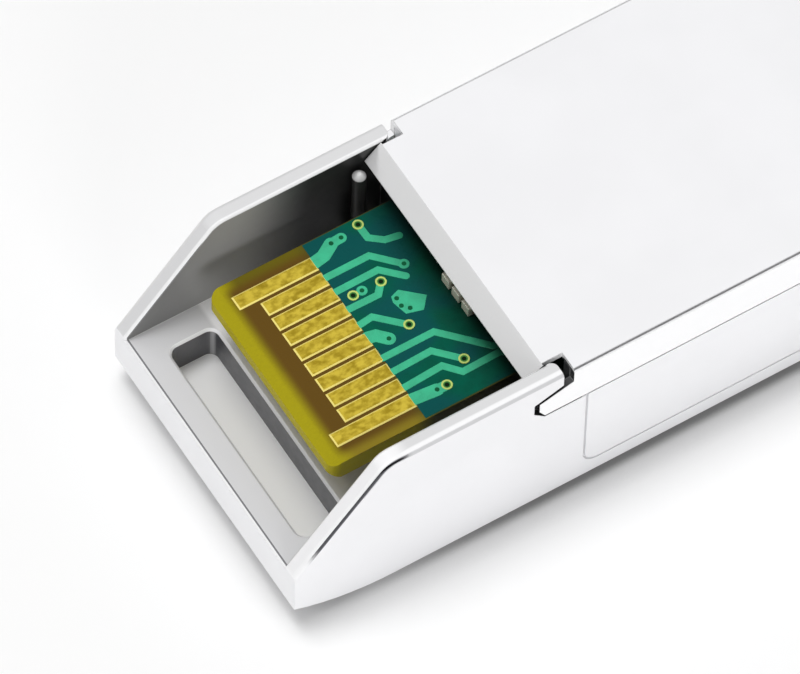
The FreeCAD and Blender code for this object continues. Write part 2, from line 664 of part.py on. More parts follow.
# optics: barrel with nozzle, ceramic sleeve, can with leads, and the flexible circuit
for label, across in (("tosa", port_half), ("rosa", -port_half)):
    barrel = new_body(label + "_barrel")
    bore = s.sleeve_round + s.sleeve_gap
    turned(barrel, label + "_barrel_turning", [
        (barrel_back, s.light_bore), (bulkhead_start, s.light_bore),
        (bulkhead_start, bore), (nozzle_end, bore), (nozzle_end, s.nozzle_round),
        (bulkhead_start - s.seat_gap, s.nozzle_round),
        (bulkhead_start - s.seat_gap, barrel_round),
        (barrel_back + s.collar_thick, barrel_round),
        (barrel_back + s.collar_thick, collar_round), (barrel_back, collar_round)],
        across, axis_z)
    sleeve = new_body(label + "_sleeve")
    turned(sleeve, label + "_sleeve_turning",
           rect(bulkhead_start, s.ferrule_bore, bulkhead_start + s.sleeve_length,
                s.sleeve_round), across, axis_z)
    can = new_body(label + "_can")
    turned(can, label + "_can_turning", [
        (header_back, 0), (barrel_back, 0), (barrel_back, can_round),
        (header_back + s.header_thick, can_round),
        (header_back + s.header_thick, header_round), (header_back, header_round)],
        across, axis_z)
    spots = [(across + s.lead_circle, axis_z), (across - s.lead_circle, axis_z),
             (across, axis_z + s.lead_circle)]
    pad(can, label + "_leads", "YZ_Plane", [("circle", y, z, s.lead_round) for y, z in spots],
        s.lead_length, away=header_back, back=True)
    flex = new_body(label + "_flex")
    f, bend = s.flex_thick, s.flex_bend
    pad(flex, label + "_flex_strip", "XZ_Plane", [[
        (flex_x, flex_low), (flex_x + f, flex_low),
        (flex_x + f, board_top - bend, (bend + f, True)),
        (flex_x - bend, board_top + f), (flex_end, board_top + f),
        (flex_end, board_top), (flex_x - bend, board_top, (bend, False)),
        (flex_x, board_top - bend)]], flex_width, away=-across, both=True)

# saddle that holds both cans down
clamp = new_body("osa_clamp")
pad(clamp, "saddle", "YZ_Plane", [rect(-clamp_half, axis_z, clamp_half, under)],
    s.clamp_length, away=clamp_start)
pocket(clamp, "saddle_arches", "YZ_Plane",
       [("circle", port_half, axis_z, can_round + s.clamp_gap),
        ("circle", -port_half, axis_z, can_round + s.clamp_gap)],
       s.clamp_length + beyond, away=clamp_start + s.clamp_length + beyond / 2)

# plastic lining of the ports, with the slots for the plugs' latches
insert = new_body("port_insert")
insert_back = bulkhead_end
insert_front = front - s.insert_setback
pad(insert, "lining", "YZ_Plane",
    [rect(-insert_half, s.insert_low, insert_half, insert_high)],
    insert_front - insert_back, away=insert_back)
ph = s.port_side / 2
for label, across in (("left", port_half), ("right", -port_half)):
    pocket(insert, "port_" + label, "YZ_Plane", [[
        (across - ph, port_low), (across - s.latch_slot_half, port_low),
        (across - s.latch_slot_half, latch_slot_low),
        (across + s.latch_slot_half, latch_slot_low), (across + s.latch_slot_half, port_low),
        (across + ph, port_low), (across + ph, axis_z + ph),
        (across - ph, axis_z + ph)]],
        insert_front - insert_back + 2 * beyond, away=insert_front + beyond)
pocket(insert, "lining_step", "XZ_Plane", [[
    (step_x, -beyond), (front + beyond, -beyond),
    (front + beyond, s.step_rise + (s.step_run + beyond) * s.step_slope),
    (step_x, s.step_rise)]], 2 * stop_half, both=True)

# spring clip: a flat web under the nose and two wings with bowed fingers
clip = new_body("emi_clip")
wing_out = front_half - s.seat_gap
wing_in = wing_out - s.clip_thick
pad(clip, "clip_strip", "YZ_Plane", [[
    (-wing_out, s.seat_gap), (wing_out, s.seat_gap), (wing_out, clip_high),
    (wing_in, clip_high), (wing_in, clip_seat), (-wing_in, clip_seat),
    (-wing_in, clip_high), (-wing_out, clip_high)]], s.clip_length, away=clip_start)
finger_rise = 3 * finger_height + 2 * s.finger_gap
side_pockets(clip, "finger_window",
             [rect(clip_start + s.finger_inset, s.finger_low,
                   clip_end - s.finger_inset, s.finger_low + finger_rise)],
             front_half, 2 * s.clip_thick)
span = s.clip_length - 2 * s.finger_inset
chord_half = span / 2 + s.finger_gap / 2
bow = (chord_half * chord_half + s.finger_bulge * s.finger_bulge) / (2 * s.finger_bulge)
x0 = clip_start + s.finger_inset - s.finger_gap / 2
x1 = clip_end - s.finger_inset + s.finger_gap / 2
for i in range(3):
    z = s.finger_low + i * (finger_height + s.finger_gap)
    pad(clip, "fingers_left_%d" % i, "XY_Plane", [[
        (x0, wing_in), (x0, wing_out, (bow, False)), (x1, wing_out), (x1, wing_in, (bow, True))]],
        finger_height, away=z)
    pad(clip, "fingers_right_%d" % i, "XY_Plane", [[
        (x0, -wing_in, (bow, True)), (x1, -wing_in), (x1, -wing_out, (bow, False)),
        (x0, -wing_out)]],
        finger_height, away=z)

# rocker with the latch boss, its hub and the two wings that ride on the bail's cams
rocker = new_body("latch_rocker")
rocker_top = rocker_low + s.rocker_thick
stem = s.channel_half - s.rocker_gap
pad(rocker, "rocker_plate", "XY_Plane", [[
    (rocker_rear, -stem), (wing_start, -stem), (wing_start, -wing_half),
    (rocker_front, -wing_half), (rocker_front, wing_half),
    (wing_start, wing_half), (wing_start, stem), (rocker_rear, stem)]],
    s.rocker_thick, away=rocker_low)
pad(rocker, "hub", "XZ_Plane", [("circle", pivot_x, pivot_z, s.hub_round)],
    2 * stem, both=True)
pocket(rocker, "hub_bore", "XZ_Plane",
       [("circle", pivot_x, pivot_z, s.pin_round + s.pin_gap)],
       2 * stop_half, both=True)
pad(rocker, "latch_boss", "XZ_Plane", [[
    (latch_shoulder - s.boss_length, rocker_top), (latch_shoulder, rocker_top),
    (latch_shoulder, boss_top), (latch_shoulder - s.boss_flat, boss_top)]],
    2 * s.boss_half, both=True)

# pivot pin of the rocker
pin = new_body("rocker_pin")
pad(pin, "pin_rod", "XZ_Plane", [("circle", pivot_x, pivot_z, s.pin_round)],
    2 * (stop_half - s.pin_inset), both=True)

# leaf spring under the rear arm of the rocker
spring = new_body("latch_spring")
w = s.spring_thick
tip_z = rocker_low - s.spring_gap
pad(spring, "leaf", "XZ_Plane", [[
    (spring_foot, channel_floor), (spring_foot, channel_floor + w),
    (spring_bend, channel_floor + w), (spring_tip, tip_z),
    (spring_tip - 3 * w, tip_z - 2 * w), (spring_tip - 3 * w, tip_z - 3 * w),
    (spring_tip, tip_z - w), (spring_bend, channel_floor)]],
    2 * s.spring_half, both=True)

# bail: two arms with trunnions and cams, joined by the flat bar under the nose
bail = new_body("bail")
arm_in = seat_half + s.arm_gap
arm_out = arm_in + s.arm_thick
bar_end = bar_start + s.bar_length
a = s.arm_round
foot_x = bar_start + s.bar_length / 2
foot_z = s.bar_low + s.arm_foot_rise
fh = s.arm_foot_half
arm_loop = [
    (trunnion_x - a, trunnion_z), (foot_x - fh, foot_z), (bar_start, s.bar_low),
    (bar_end, s.bar_low), (foot_x + fh, foot_z),
    (trunnion_x + a, trunnion_z, (a, True)),
    (trunnion_x, trunnion_z + a, (a, True))]
arm_mid = (arm_in + arm_out) / 2
pad(bail, "arm_left", "XZ_Plane", [arm_loop], s.arm_thick, away=-arm_mid, both=True)
pad(bail, "bar", "XZ_Plane",
    [rect(bar_start, s.bar_low, bar_end, s.bar_low + s.bar_thick)], 2 * arm_out, both=True)
pad(bail, "arm_right", "XZ_Plane", [arm_loop], s.arm_thick, away=arm_mid, both=True)
trunnion_len = arm_in - tee_half + s.arm_thick / 2
trunnion_mid = tee_half + trunnion_len / 2
cam_len = tee_half - cam_inner + s.seat_gap
cam_mid = cam_inner + cam_len / 2
for side, sign in (("left", -1), ("right", 1)):
    pad(bail, "trunnion_" + side, "XZ_Plane",
        [("circle", trunnion_x, trunnion_z, s.trunnion_round)],
        trunnion_len, away=sign * trunnion_mid, both=True)
    pad(bail, "cam_" + side, "XZ_Plane",
        [("circle", trunnion_x + s.cam_throw, trunnion_z - s.cam_throw, s.cam_round)],
        cam_len, away=sign * cam_mid, both=True)

doc.recompute()

faults = []
for item in doc.Objects:
    if "Invalid" in item.State or "Error" in item.State:
        faults.append("%s: %s" % (item.Name, item.State))
for body in made:
    if body.Shape.isNull() or not body.Shape.isValid() or not body.Shape.Solids:
        faults.append("%s: no valid solid" % body.Label)
if faults:
    raise RuntimeError("; ".join(faults))

os.makedirs("parts", exist_ok=True)
for body in made:
    box = body.Shape.BoundBox
    print("%-16s solids %2d volume %9.3f  x %.2f..%.2f  y %.2f..%.2f  z %.2f..%.2f" % (
        body.Label, len(body.Shape.Solids), body.Shape.Volume,
        box.XMin, box.XMax, box.YMin, box.YMax, box.ZMin, box.ZMax))
    body.Shape.exportStep("parts/%s.step" % body.Label)
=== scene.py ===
"""Finishes and fine pieces of a pluggable optical transceiver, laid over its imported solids."""

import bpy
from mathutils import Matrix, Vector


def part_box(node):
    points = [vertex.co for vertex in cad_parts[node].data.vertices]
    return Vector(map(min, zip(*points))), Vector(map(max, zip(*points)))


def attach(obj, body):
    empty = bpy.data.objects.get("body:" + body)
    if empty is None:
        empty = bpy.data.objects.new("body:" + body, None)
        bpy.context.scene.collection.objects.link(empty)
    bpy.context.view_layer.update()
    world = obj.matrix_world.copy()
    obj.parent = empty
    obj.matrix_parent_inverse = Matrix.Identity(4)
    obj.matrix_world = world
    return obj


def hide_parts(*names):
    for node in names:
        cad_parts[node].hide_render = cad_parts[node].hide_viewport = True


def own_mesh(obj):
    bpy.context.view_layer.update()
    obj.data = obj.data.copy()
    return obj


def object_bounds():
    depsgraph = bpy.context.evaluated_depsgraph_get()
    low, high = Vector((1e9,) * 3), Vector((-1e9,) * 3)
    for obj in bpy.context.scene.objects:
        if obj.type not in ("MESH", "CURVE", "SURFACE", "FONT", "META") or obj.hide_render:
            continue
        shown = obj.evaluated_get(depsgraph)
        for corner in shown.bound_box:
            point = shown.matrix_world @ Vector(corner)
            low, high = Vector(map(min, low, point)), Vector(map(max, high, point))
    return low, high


bl_info = {
    "name": "Pluggable transceiver",
    "version": (1, 0, 0),
    "blender": (4, 5, 0),
    "location": "3D View > Sidebar > Transceiver",
    "description": "Finishes the housing, board, contacts, optics and latch of a transceiver",
    "category": "Object",
}

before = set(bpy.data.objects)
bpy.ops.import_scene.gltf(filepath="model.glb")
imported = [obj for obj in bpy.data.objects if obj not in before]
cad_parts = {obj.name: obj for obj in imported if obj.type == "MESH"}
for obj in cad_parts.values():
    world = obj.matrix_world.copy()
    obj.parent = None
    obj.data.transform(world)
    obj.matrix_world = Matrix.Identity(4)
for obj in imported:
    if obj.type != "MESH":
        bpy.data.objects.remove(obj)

import math

import bmesh
import bpy
from bpy.props import FloatProperty, FloatVectorProperty, PointerProperty
from mathutils import Matrix, Vector

CAD_LOW, CAD_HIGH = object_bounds()
MM = 0.001
REAR = CAD_LOW.x
BOARD_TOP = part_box("contacts_upper")[0].z
BOARD_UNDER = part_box("contacts_lower")[1].z
CONTACT_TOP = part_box("contacts_upper")[1].z
CONTACT_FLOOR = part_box("contacts_lower")[0].z
WALL_GAP = 0.27 * MM
BAY_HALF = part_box("circuit_board")[1].y + WALL_GAP


def from_rear(first, second):
    """Two places along the housing, given in millimetres from its rear end."""
    return REAR + first * MM, REAR + second * MM


# stretches along the housing
BAY = from_rear(0.1, 34.0)
NEAR_NOTCH = from_rear(10.4, 12.9)

# fades along the housing, which start at the first place and end at the second
BAY_END_FADE = from_rear(1.0, 4.6)
WALL_SHADE_FADE = from_rear(5.0, 8.6)
LEDGE_REAR_FADE = from_rear(3.2, 3.45)
LEDGE_FRONT_FADE = from_rear(4.3, 3.8)
SLOPE_TOP_FADE = from_rear(5.3, 4.6)
SLOPE_FOOT_FADE = from_rear(0.5, 1.2)
NOSE_FADE = from_rear(36.0, 42.0)
LIP_SHADE_FADE = from_rear(9.3, 11.5)
SHADE_FADE = from_rear(3.2, 3.85)
STRIP_FADE = from_rear(3.3, 4.2)
BORDER_FADE = from_rear(6.6, 7.7)
TAIL_FADE = from_rear(-1.5, 14.0)

# places along the housing
FLOOR_EDGE_SHADE_END = REAR + 0.17 * MM
SLOT_END = REAR + 3.4 * MM
POST_START = REAR + 9.9 * MM
CARD_END = REAR + 11.9 * MM
TURN_END = REAR + 12.0 * MM
NOTCH_BACK = REAR + 12.3 * MM
RIDGE_END = REAR + 12.5 * MM
LIP_END = REAR + 12.75 * MM

# places across the housing, below zero on the near side
POST = (4.9 * MM, 5.85 * MM)
POST_TIP_SIDE = 5.1 * MM
CARD_HALF = 4.6 * MM
SHADE_SIDE_FADE = (4.5 * MM, 4.0 * MM)
FAR_EDGE_FADE = (BAY_HALF + 0.16 * MM, BAY_HALF + 0.08 * MM)
NEAR_RIM_FADE = (-6.36 * MM, -6.46 * MM)
NEAR_EDGE = -6.4 * MM
NOTCH_SIDE = -6.69 * MM
COVER_NOTCH_SIDE = -5.9 * MM

# heights above the foot of the housing
BAY_BOTTOM = 1.0 * MM
SLOT_TOP = 3.38 * MM
FLOOR_TOP = 3.45 * MM
RIM_FOOT = 3.5 * MM
NOTCH_FOOT = 5.9 * MM
NOTCH_ROOF = 7.6 * MM
POST_SHOULDER = 6.9 * MM
POST_CROWN_FADE = (7.4 * MM, 7.9 * MM)
TURN_FOOT = 7.0 * MM
COVER_NOTCH_TOP = 8.3 * MM
UPPER_FACE = BOARD_TOP - 0.05 * MM

# how far a face looks along an axis, from -1 to 1: fades, pairs of fades, and limits
FLOOR_LEVEL = (0.85, 0.95)
TOP_LEVEL = (0.8, 0.9)
FLANGE_LEVEL = (0.12, 0.37)
CONTACT_LEVEL = (0.9, 0.98)
SLOT_ROUND = ((0.35, 0.6), (0.92, 0.75))
LOWER_TURN = ((0.4, 0.6), (0.985, 0.95))
RIM_REFLECTION_FACING = ((0.44, 0.58), (0.93, 0.86))
LIP_SLOPE = ((-0.4, -0.6), (-0.9, -0.8))
RIDGE_RISE = 0.35
POST_TIP_RISE = 0.1
COVER_NOTCH_FACING = 0.9

# range of a noise that is spread over a whole tone or roughness
CLOUDY = (0.35, 0.65)
GRAINY = (0.3, 0.7)
PATCHY = (0.4, 0.6)

# shares of a tone, for painted shade
WALL_SHADE_SHARE = 0.07
POST_SHADE_SHARE = 0.15
LIP_SHADE_SHARE = 0.9

# fixed tones: painted shade under the lip, painted highlight on edges, white for painted light,
# black under the floor's painted shadow
LIP_SHADE = (0.004, 0.007, 0.005)
EDGE_HIGHLIGHT = (0.97, 0.97, 0.97)
WHITE = (1.0, 1.0, 1.0)
BLACK = (0.0, 0.0, 0.0)

# shares of the copper's thickness: rise of a via's pieces, bevel of a trace, lift at overlaps
RING_RISE = 0.6
BARREL_RISE = 0.4
HOLE_RISE = 0.3
DIMPLE_RISE = 0.5
TRACE_BEVEL = 0.8
OVERLAP_LIFT = 0.12

# contacts on each face, which of them are long, and the share of their height below the bevel
CONTACTS = 10
LONG_CONTACTS = (0, 9)
CONTACT_RISE = 0.3

# lamps and floor in metres, sides of the floor, and shares of its tone and of the open sky
KEY_PLACE = (-0.08, 0.10, 0.56)
SIDE_PLACE = (-0.18, -0.56, 0.10)
FLOOR_RADIUS = 4.0
FLOOR_DROP = 0.01 * MM
PAPER_GRAIN = 0.4
FLOOR_STEPS = 96
PAPER_LIGHT = 1.004
OPEN_SKY = (0.5, 0.88)

# fades of the sky by how far a direction looks along Y or Z
FLAG_SIDE = (-0.85, -0.40)
FLAG_TOP = (0.45, 0.66)
SKY_RISE = (0.0, 0.5)

# sensor of the camera in millimetres, and what it clips in metres
SENSOR_WIDTH = 36.0
CLIP_START = 0.01
CLIP_END = 20.0

# places on the board in millimetres: along it from the rear end of the housing, and across it
MASK_START = 7.15
TRACES = [
    ("wide", [(MASK_START, 3.64), (7.62, 3.72), (8.16, 4.05)]),
    ("collar", [(8.16, 4.05), (8.63, 4.08)]),
    ("fine", [(9.50, 4.25), (9.52, 3.55), (10.04, 3.13), (10.62, 3.02)]),
    ("fine", [(MASK_START, 2.83), (9.13, 2.83), (10.09, 1.82)]),
    ("fine", [(MASK_START, 2.08), (9.09, 2.10), (9.87, 1.31)]),
    ("fine", [(MASK_START, 1.15), (8.50, 1.13), (8.90, 1.58)]),
    ("fine", [(MASK_START, 0.33), (7.77, 0.40), (8.81, -0.64)]),
    ("wide", [(MASK_START, -0.33), (7.45, -0.40), (7.81, -0.78)]),
    ("fine", [(MASK_START, -1.40), (9.46, -1.40), (11.07, -3.11), (12.40, -3.60)]),
    ("fine", [(MASK_START, -2.13), (8.91, -2.08), (9.81, -3.04)]),
    ("fine", [(MASK_START, -2.96), (8.92, -2.87), (9.47, -3.51), (11.16, -3.48), (12.40, -4.20)]),
    ("wide", [(MASK_START, -3.58), (8.19, -3.69)]),
    ("collar", [(8.19, -3.69), (8.63, -3.70)]),
]
OPEN_VIAS = [(9.50, 4.25), (7.65, 1.59), (8.90, 1.58), (8.81, -0.64), (9.81, -3.04),
             (8.63, -3.70)]
COATED_VIAS = [(8.16, 4.05), (8.63, 4.08), (8.06, 1.61), (10.09, 1.82), (7.81, -0.78),
               (8.19, -3.69)]
POUR = [(8.88, 0.80), (9.28, 0.93), (10.11, 0.16), (9.66, -0.36), (8.97, -0.16), (8.80, 0.53)]
POUR_DOTS = [(9.02, 0.62), (9.00, 0.24), (9.24, -0.02)]


def tint(red, green, blue):
    """Linear colour of an 8-bit screen colour."""
    def linear(value):
        value /= 255.0
        return value / 12.92 if value <= 0.04045 else ((value + 0.055) / 1.055) ** 2.4
    return linear(red), linear(green), linear(blue)


def colour(name, description, default):
    return FloatVectorProperty(name=name, description=description, default=default,
                               size=3, min=0.0, max=1.0, subtype="COLOR")


def length(name, description, millimetres):
    return FloatProperty(name=name, description=description, default=millimetres * MM,
                         min=0.0, precision=5, subtype="DISTANCE", unit="LENGTH")


def share(name, description, default):
    return FloatProperty(name=name, description=description, default=default,
                         min=0.0, max=1.0, subtype="FACTOR")


def power(name, description, watts):
    return FloatProperty(name=name, description=description, default=watts,
                         min=0.0, subtype="POWER", unit="POWER")


def position(name, description, default):
    return FloatVectorProperty(name=name, description=description, default=default,
                               size=3, subtype="TRANSLATION", unit="LENGTH")


class HousingLook(bpy.types.PropertyGroup):
    plate: colour("Plate", "Nickel plate outside", tint(246, 246, 248))
    bay_floor: colour("Bay floor", "Satin floor of the card bay", tint(213, 213, 215))
    # Painted shade: the next two colours darken the bay's inner walls, more near the rear end.
    shaded_bay_wall: colour("Bay wall", "As-cast walls of the card bay", tint(149, 149, 149))
    shaded_bay_end: colour("Bay end", "Bay walls near the rear end", tint(114, 114, 114))
    # Painted shade on the slot's walls, and a painted highlight on its round corners.
    slot_wall_shade: colour("Slot wall", "Walls of the slot in the bay's floor", tint(86, 86, 90))
    slot_corner_highlight: colour("Slot corner", "Lighter round corners of that slot", tint(168, 168, 170))
    # Painted shade in the near corner notch, on the housing and on the cover.
    notch_shade: colour("Recess", "Dark metal in the near corner notch", tint(52, 52, 54))
    # Painted reflection: a dark line on the near sloped rim's round.
    rim_reflection_line: colour("Rim line", "Dark line on the near sloped rim's round", tint(92, 92, 96))
    # Painted shade on the walls' tops, painted highlights on their bright edges, and painted shade
    # on the lower part of the near wall's rounded edge.
    ridge: colour("Ridge", "Tops of the side walls", tint(222, 222, 223))
    rim_highlight: colour("Rim light", "Bright edges of the walls' tops", tint(251, 251, 252))
    rim_turn_shade: colour("Rim turn", "Lower part of the near wall's rounded edge", tint(216, 216, 218))
    # Painted highlight on the post's crown, with painted shade below it.
    post_crown_highlight: colour("Post tip", "Crown of the small post", tint(228, 228, 228))
    # Painted shade: a dark line along the rear edge of the bay's floor.
    seam: colour("Seam", "Line along the rear edge of the bay's floor", tint(120, 120, 124))
    # Painted light: the flanges are painted brighter than the cover's top.
    flange_light: colour("Flange", "Brighter plate on the cover's flanges", tint(253, 253, 254))
    cover: colour("Cover", "Smooth plate of the cover", tint(245, 245, 247))
    # Painted shade: the lip is painted darker than the cover's top.
    lip: colour("Lip", "Sloped rear lip of the cover", tint(232, 232, 233))
    lip_shine: share("Lip shine", "Share of the lip's plate that mirrors", 0.35)
    # Painted highlight on the near sloped rim's top.
    slope_highlight: share("Slope light", "Share of rim light on the near sloped rim's top", 0.9)
    shine: share("Shine", "Share of the casting's plate that mirrors", 0.5)
    cover_shine: share("Cover shine", "Share of the cover's plate that mirrors", 0.85)
    side_shine: share("Side shine", "Share of the plate on the sides that mirrors", 0.2)
    nose_shine: share("Nose shine", "Share of the plate on the nose's sides that mirrors", 0.6)
    bay_shine: share("Bay shine", "How much of the plate's shine the bay's skin keeps", 0.3)
    polish: share("Polish", "Share of the roughness left on the near rim's dark line", 0.2)
    roughness: share("Roughness", "Roughness of the plated casting", 0.36)
    cover_roughness: share("Cover roughness", "Roughness of the folded sheet", 0.20)
    grain: length("Grain", "Size of the grain of plated metal", 0.4)
    edge: length("Edge", "Softening of sharp edges", 0.05)


class BoardLook(bpy.types.PropertyGroup):
    mask: colour("Mask", "Solder mask over bare laminate", tint(4, 92, 72))
    mask_patch: colour("Mask patch", "Bluer patches of the solder mask", tint(12, 82, 80))
    trace: colour("Trace", "Solder mask over copper", tint(66, 192, 146))
    laminate: colour("Laminate", "Bare laminate of the card edge", tint(166, 155, 18))
    # Painted shade: laminate along the board's long edges, darker on the far side.
    far_strip_shade: colour("Far strip", "Browner laminate along the far edge", tint(102, 92, 14))
    near_strip_shade: colour("Near strip", "Browner laminate along the near edge", tint(138, 120, 30))
    shade: colour("Shade", "Laminate between the contacts", tint(96, 70, 16))
    ring: colour("Ring", "Plated ring of a via", tint(200, 222, 118))
    # Painted shade on the laminate from the start of the solder mask on.
    border_shade: colour("Border", "Laminate beside the solder mask", tint(74, 74, 24))
    barrel: colour("Barrel", "Wall inside a via", tint(64, 128, 62))
    # Painted shade: a dark disc for the hole of an open via.
    hole: colour("Hole", "Bottom of a via", tint(14, 36, 16))
    dimple: colour("Dimple", "Middle of a coated via", tint(14, 92, 58))
    fine: length("Fine trace", "Width of a signal trace", 0.31)
    wide: length("Wide trace", "Width of a supply trace", 0.56)
    ring_outer: length("Ring radius", "Outer radius of a via's ring", 0.225)
    ring_inner: length("Ring opening", "Inner radius of a via's ring", 0.15)
    hole_radius: length("Hole radius", "Radius of a via's hole", 0.095)
    mask_thick: length("Mask thickness", "How far the solder mask stands up", 0.012)
    copper_thick: length("Copper thickness", "How far a trace stands up", 0.022)


class ContactLook(bpy.types.PropertyGroup):
    gold: colour("Gold", "Hard gold plate", tint(214, 190, 68))
    fleck: colour("Fleck", "Darker patches in the plate", tint(166, 142, 37))
    # Painted highlight on the bevelled rim of each contact.
    rim: colour("Rim", "Bright rim of a contact", tint(246, 229, 128))
    roughness: share("Roughness", "Roughness of the plate", 0.34)
    pitch: length("Pitch", "Distance between contacts", 0.8)
    width: length("Width", "Width of a contact", 0.66)
    long_start: length("Long start", "Rear end of the outer contacts", 3.57)
    short_start: length("Short start", "Rear end of the other contacts", 4.4)
    end: length("Front end", "Front end of all contacts", 7.145)
    bevel: length("Bevel", "Width of the bevelled rim", 0.06)


class InnerLook(bpy.types.PropertyGroup):
    ceramic: colour("Chip ceramic", "Body of a chip part", tint(168, 146, 120))
    tin: colour("Tin", "Tinned ends of a chip part", tint(250, 246, 226))
    package: colour("Package", "Moulded package", tint(44, 44, 46))
    pad: colour("Pad", "Soft filler under the cover", tint(150, 158, 168))
    steel: colour("Steel", "Turned steel barrels", tint(214, 214, 218))
    can: colour("Can", "Gold-plated cans", tint(226, 196, 118))
    sleeve: colour("Sleeve", "Ceramic sleeves", tint(240, 238, 232))
    flex: colour("Flex", "Flexible circuits", tint(190, 120, 38))
    plastic: colour("Plastic", "Lining of the ports and the clamp", tint(38, 39, 42))


class LatchLook(bpy.types.PropertyGroup):
    bail: colour("Bail", "Satin plate of the bail", tint(226, 226, 229))
    rocker: colour("Rocker", "Plated rocker", tint(232, 232, 235))
    spring: colour("Spring", "Bright sheet of the springs, and the pin", tint(222, 222, 226))
    roughness: share("Roughness", "Roughness of the satin plate", 0.33)
    leaf_thick: length("Leaf thickness", "Thickness of the leaf spring", 0.12)
    leaf_foot: length("Leaf foot", "Length of the leaf that lies flat in its channel", 1.6)
    leaf_bend: length("Leaf bend", "How far from a corner the leaf starts to bend", 0.15)
    leaf_keep: share("Leaf keep", "Share of its height that the pressed leaf keeps", 0.19)


class StageLook(bpy.types.PropertyGroup):
    floor: colour("Floor", "Floor under the part", (0.96, 0.96, 0.96))
    backdrop: colour("Backdrop", "What is seen beyond the floor", (1.0, 1.0, 1.0))
    fill: share("Fill", "Even light from all sides", 0.44)
    contact: length("Contact", "How far the shade at the part's foot reaches", 2.9)
    contact_tone: share("Contact tone", "Brightness that this shade leaves at the foot", 0.75)
    foot_line: length("Foot line", "How far the darker line at the foot reaches", 0.9)
    foot_tone: share("Foot tone", "Brightness that the darker line leaves at the foot", 0.35)
    contact_behind: share("Contact behind", "Share of the contact shade left at the tail", 0.5)
    foot_behind: share("Foot behind", "Share of the darker line left at the tail", 0.25)
    horizon: share("Horizon", "Light that metal sees near the horizon", 0.05)
    flag: share("Flag", "How far a dark flag shades the horizon on the right", 0.9)
    key_watts: power("Key", "Power of the overhead light", 1.8)
    side_watts: power("Side", "Power of the light from the right", 1.25)
    lamp_size: length("Lamp size", "Side of each square lamp", 260.0)
    lens: FloatProperty(name="Lens", description="Focal length of the camera in millimetres",
                        default=526.8946, min=1.0)
    roll: FloatProperty(name="Roll", description="Turn of the camera about its own axis",
                        default=math.radians(1.9097), subtype="ANGLE", unit="ROTATION")
    camera_place: position("Camera", "Place of the camera", (-0.1500972, -0.1992205, 0.3891080))
    camera_aim: position("Aim", "What the camera looks at", (-0.0190236, 0.0006057, 0.0034496))


class TransceiverLook(bpy.types.PropertyGroup):
    housing: PointerProperty(type=HousingLook)
    board: PointerProperty(type=BoardLook)
    contacts: PointerProperty(type=ContactLook)
    inner: PointerProperty(type=InnerLook)
    latch: PointerProperty(type=LatchLook)
    stage: PointerProperty(type=StageLook)


class Nodes:
    """Adds nodes to the tree of a material or of the world, and links them."""

    def __init__(self, tree):
        self.nodes = tree.nodes
        self.links = tree.links

    def add(self, kind, inputs=None, **settings):
        node = self.nodes.new(kind)
        for key, value in settings.items():
            setattr(node, key, value)
        for key, value in (inputs or {}).items():
            self.feed(node.inputs[key], value)
        return node

    def feed(self, socket, value):
        if isinstance(value, bpy.types.NodeSocket):
            self.links.new(value, socket)
        elif socket.type == "RGBA":
            socket.default_value = (*tuple(value)[:3], 1.0)
        else:
            socket.default_value = value

    def math(self, operation, first, second=0.0):
        return self.add("ShaderNodeMath", {0: first, 1: second}, operation=operation).outputs[0]

    def chain(self, operation, masks):
        made = masks[0]
        for mask in masks[1:]:
            made = self.math(operation, made, mask)
        return made

    def both(self, *masks):
        return self.chain("MULTIPLY", masks)

    def either(self, *masks):
        return self.chain("MAXIMUM", masks)

    def outside(self, mask):
        return self.math("SUBTRACT", 1.0, mask)

    def above(self, value, limit):
        return self.math("GREATER_THAN", value, limit)

    def below(self, value, limit):
        return self.math("LESS_THAN", value, limit)

    def between(self, value, low, high):
        return self.both(self.above(value, low), self.below(value, high))

    def span(self, value, low, high, first=0.0, last=1.0):
        """value between low and high, carried smoothly over to first and last."""
        node = self.add("ShaderNodeMapRange", {
            "Value": value, "From Min": low, "From Max": high,
            "To Min": first, "To Max": last}, interpolation_type="SMOOTHSTEP")
        return node.outputs[0]

    def blend(self, mask, without, within):
        """A value that goes smoothly from without to within as the mask goes from 0 to 1."""
        return self.span(mask, 0.0, 1.0, without, within)

    def hump(self, value, rise, fall):
        """1 where value lies past the fade rise and before the fade fall."""
        return self.both(self.span(value, *rise), self.span(value, *fall))

    def mix(self, mask, without, within):
        node = self.add("ShaderNodeMix", {0: mask, 6: without, 7: within}, data_type="RGBA")
        return node.outputs[2]

    def mix_value(self, mask, without, within):
        return self.add("ShaderNodeMix", {0: mask, 2: without, 3: within}).outputs[0]

    def seen(self):
        """1 for rays from the camera, mirrored ones and those through glass, and 0 for others."""
        path = self.add("ShaderNodeLightPath").outputs
        return self.either(path["Is Camera Ray"], path["Is Glossy Ray"],
                           path["Is Transmission Ray"])


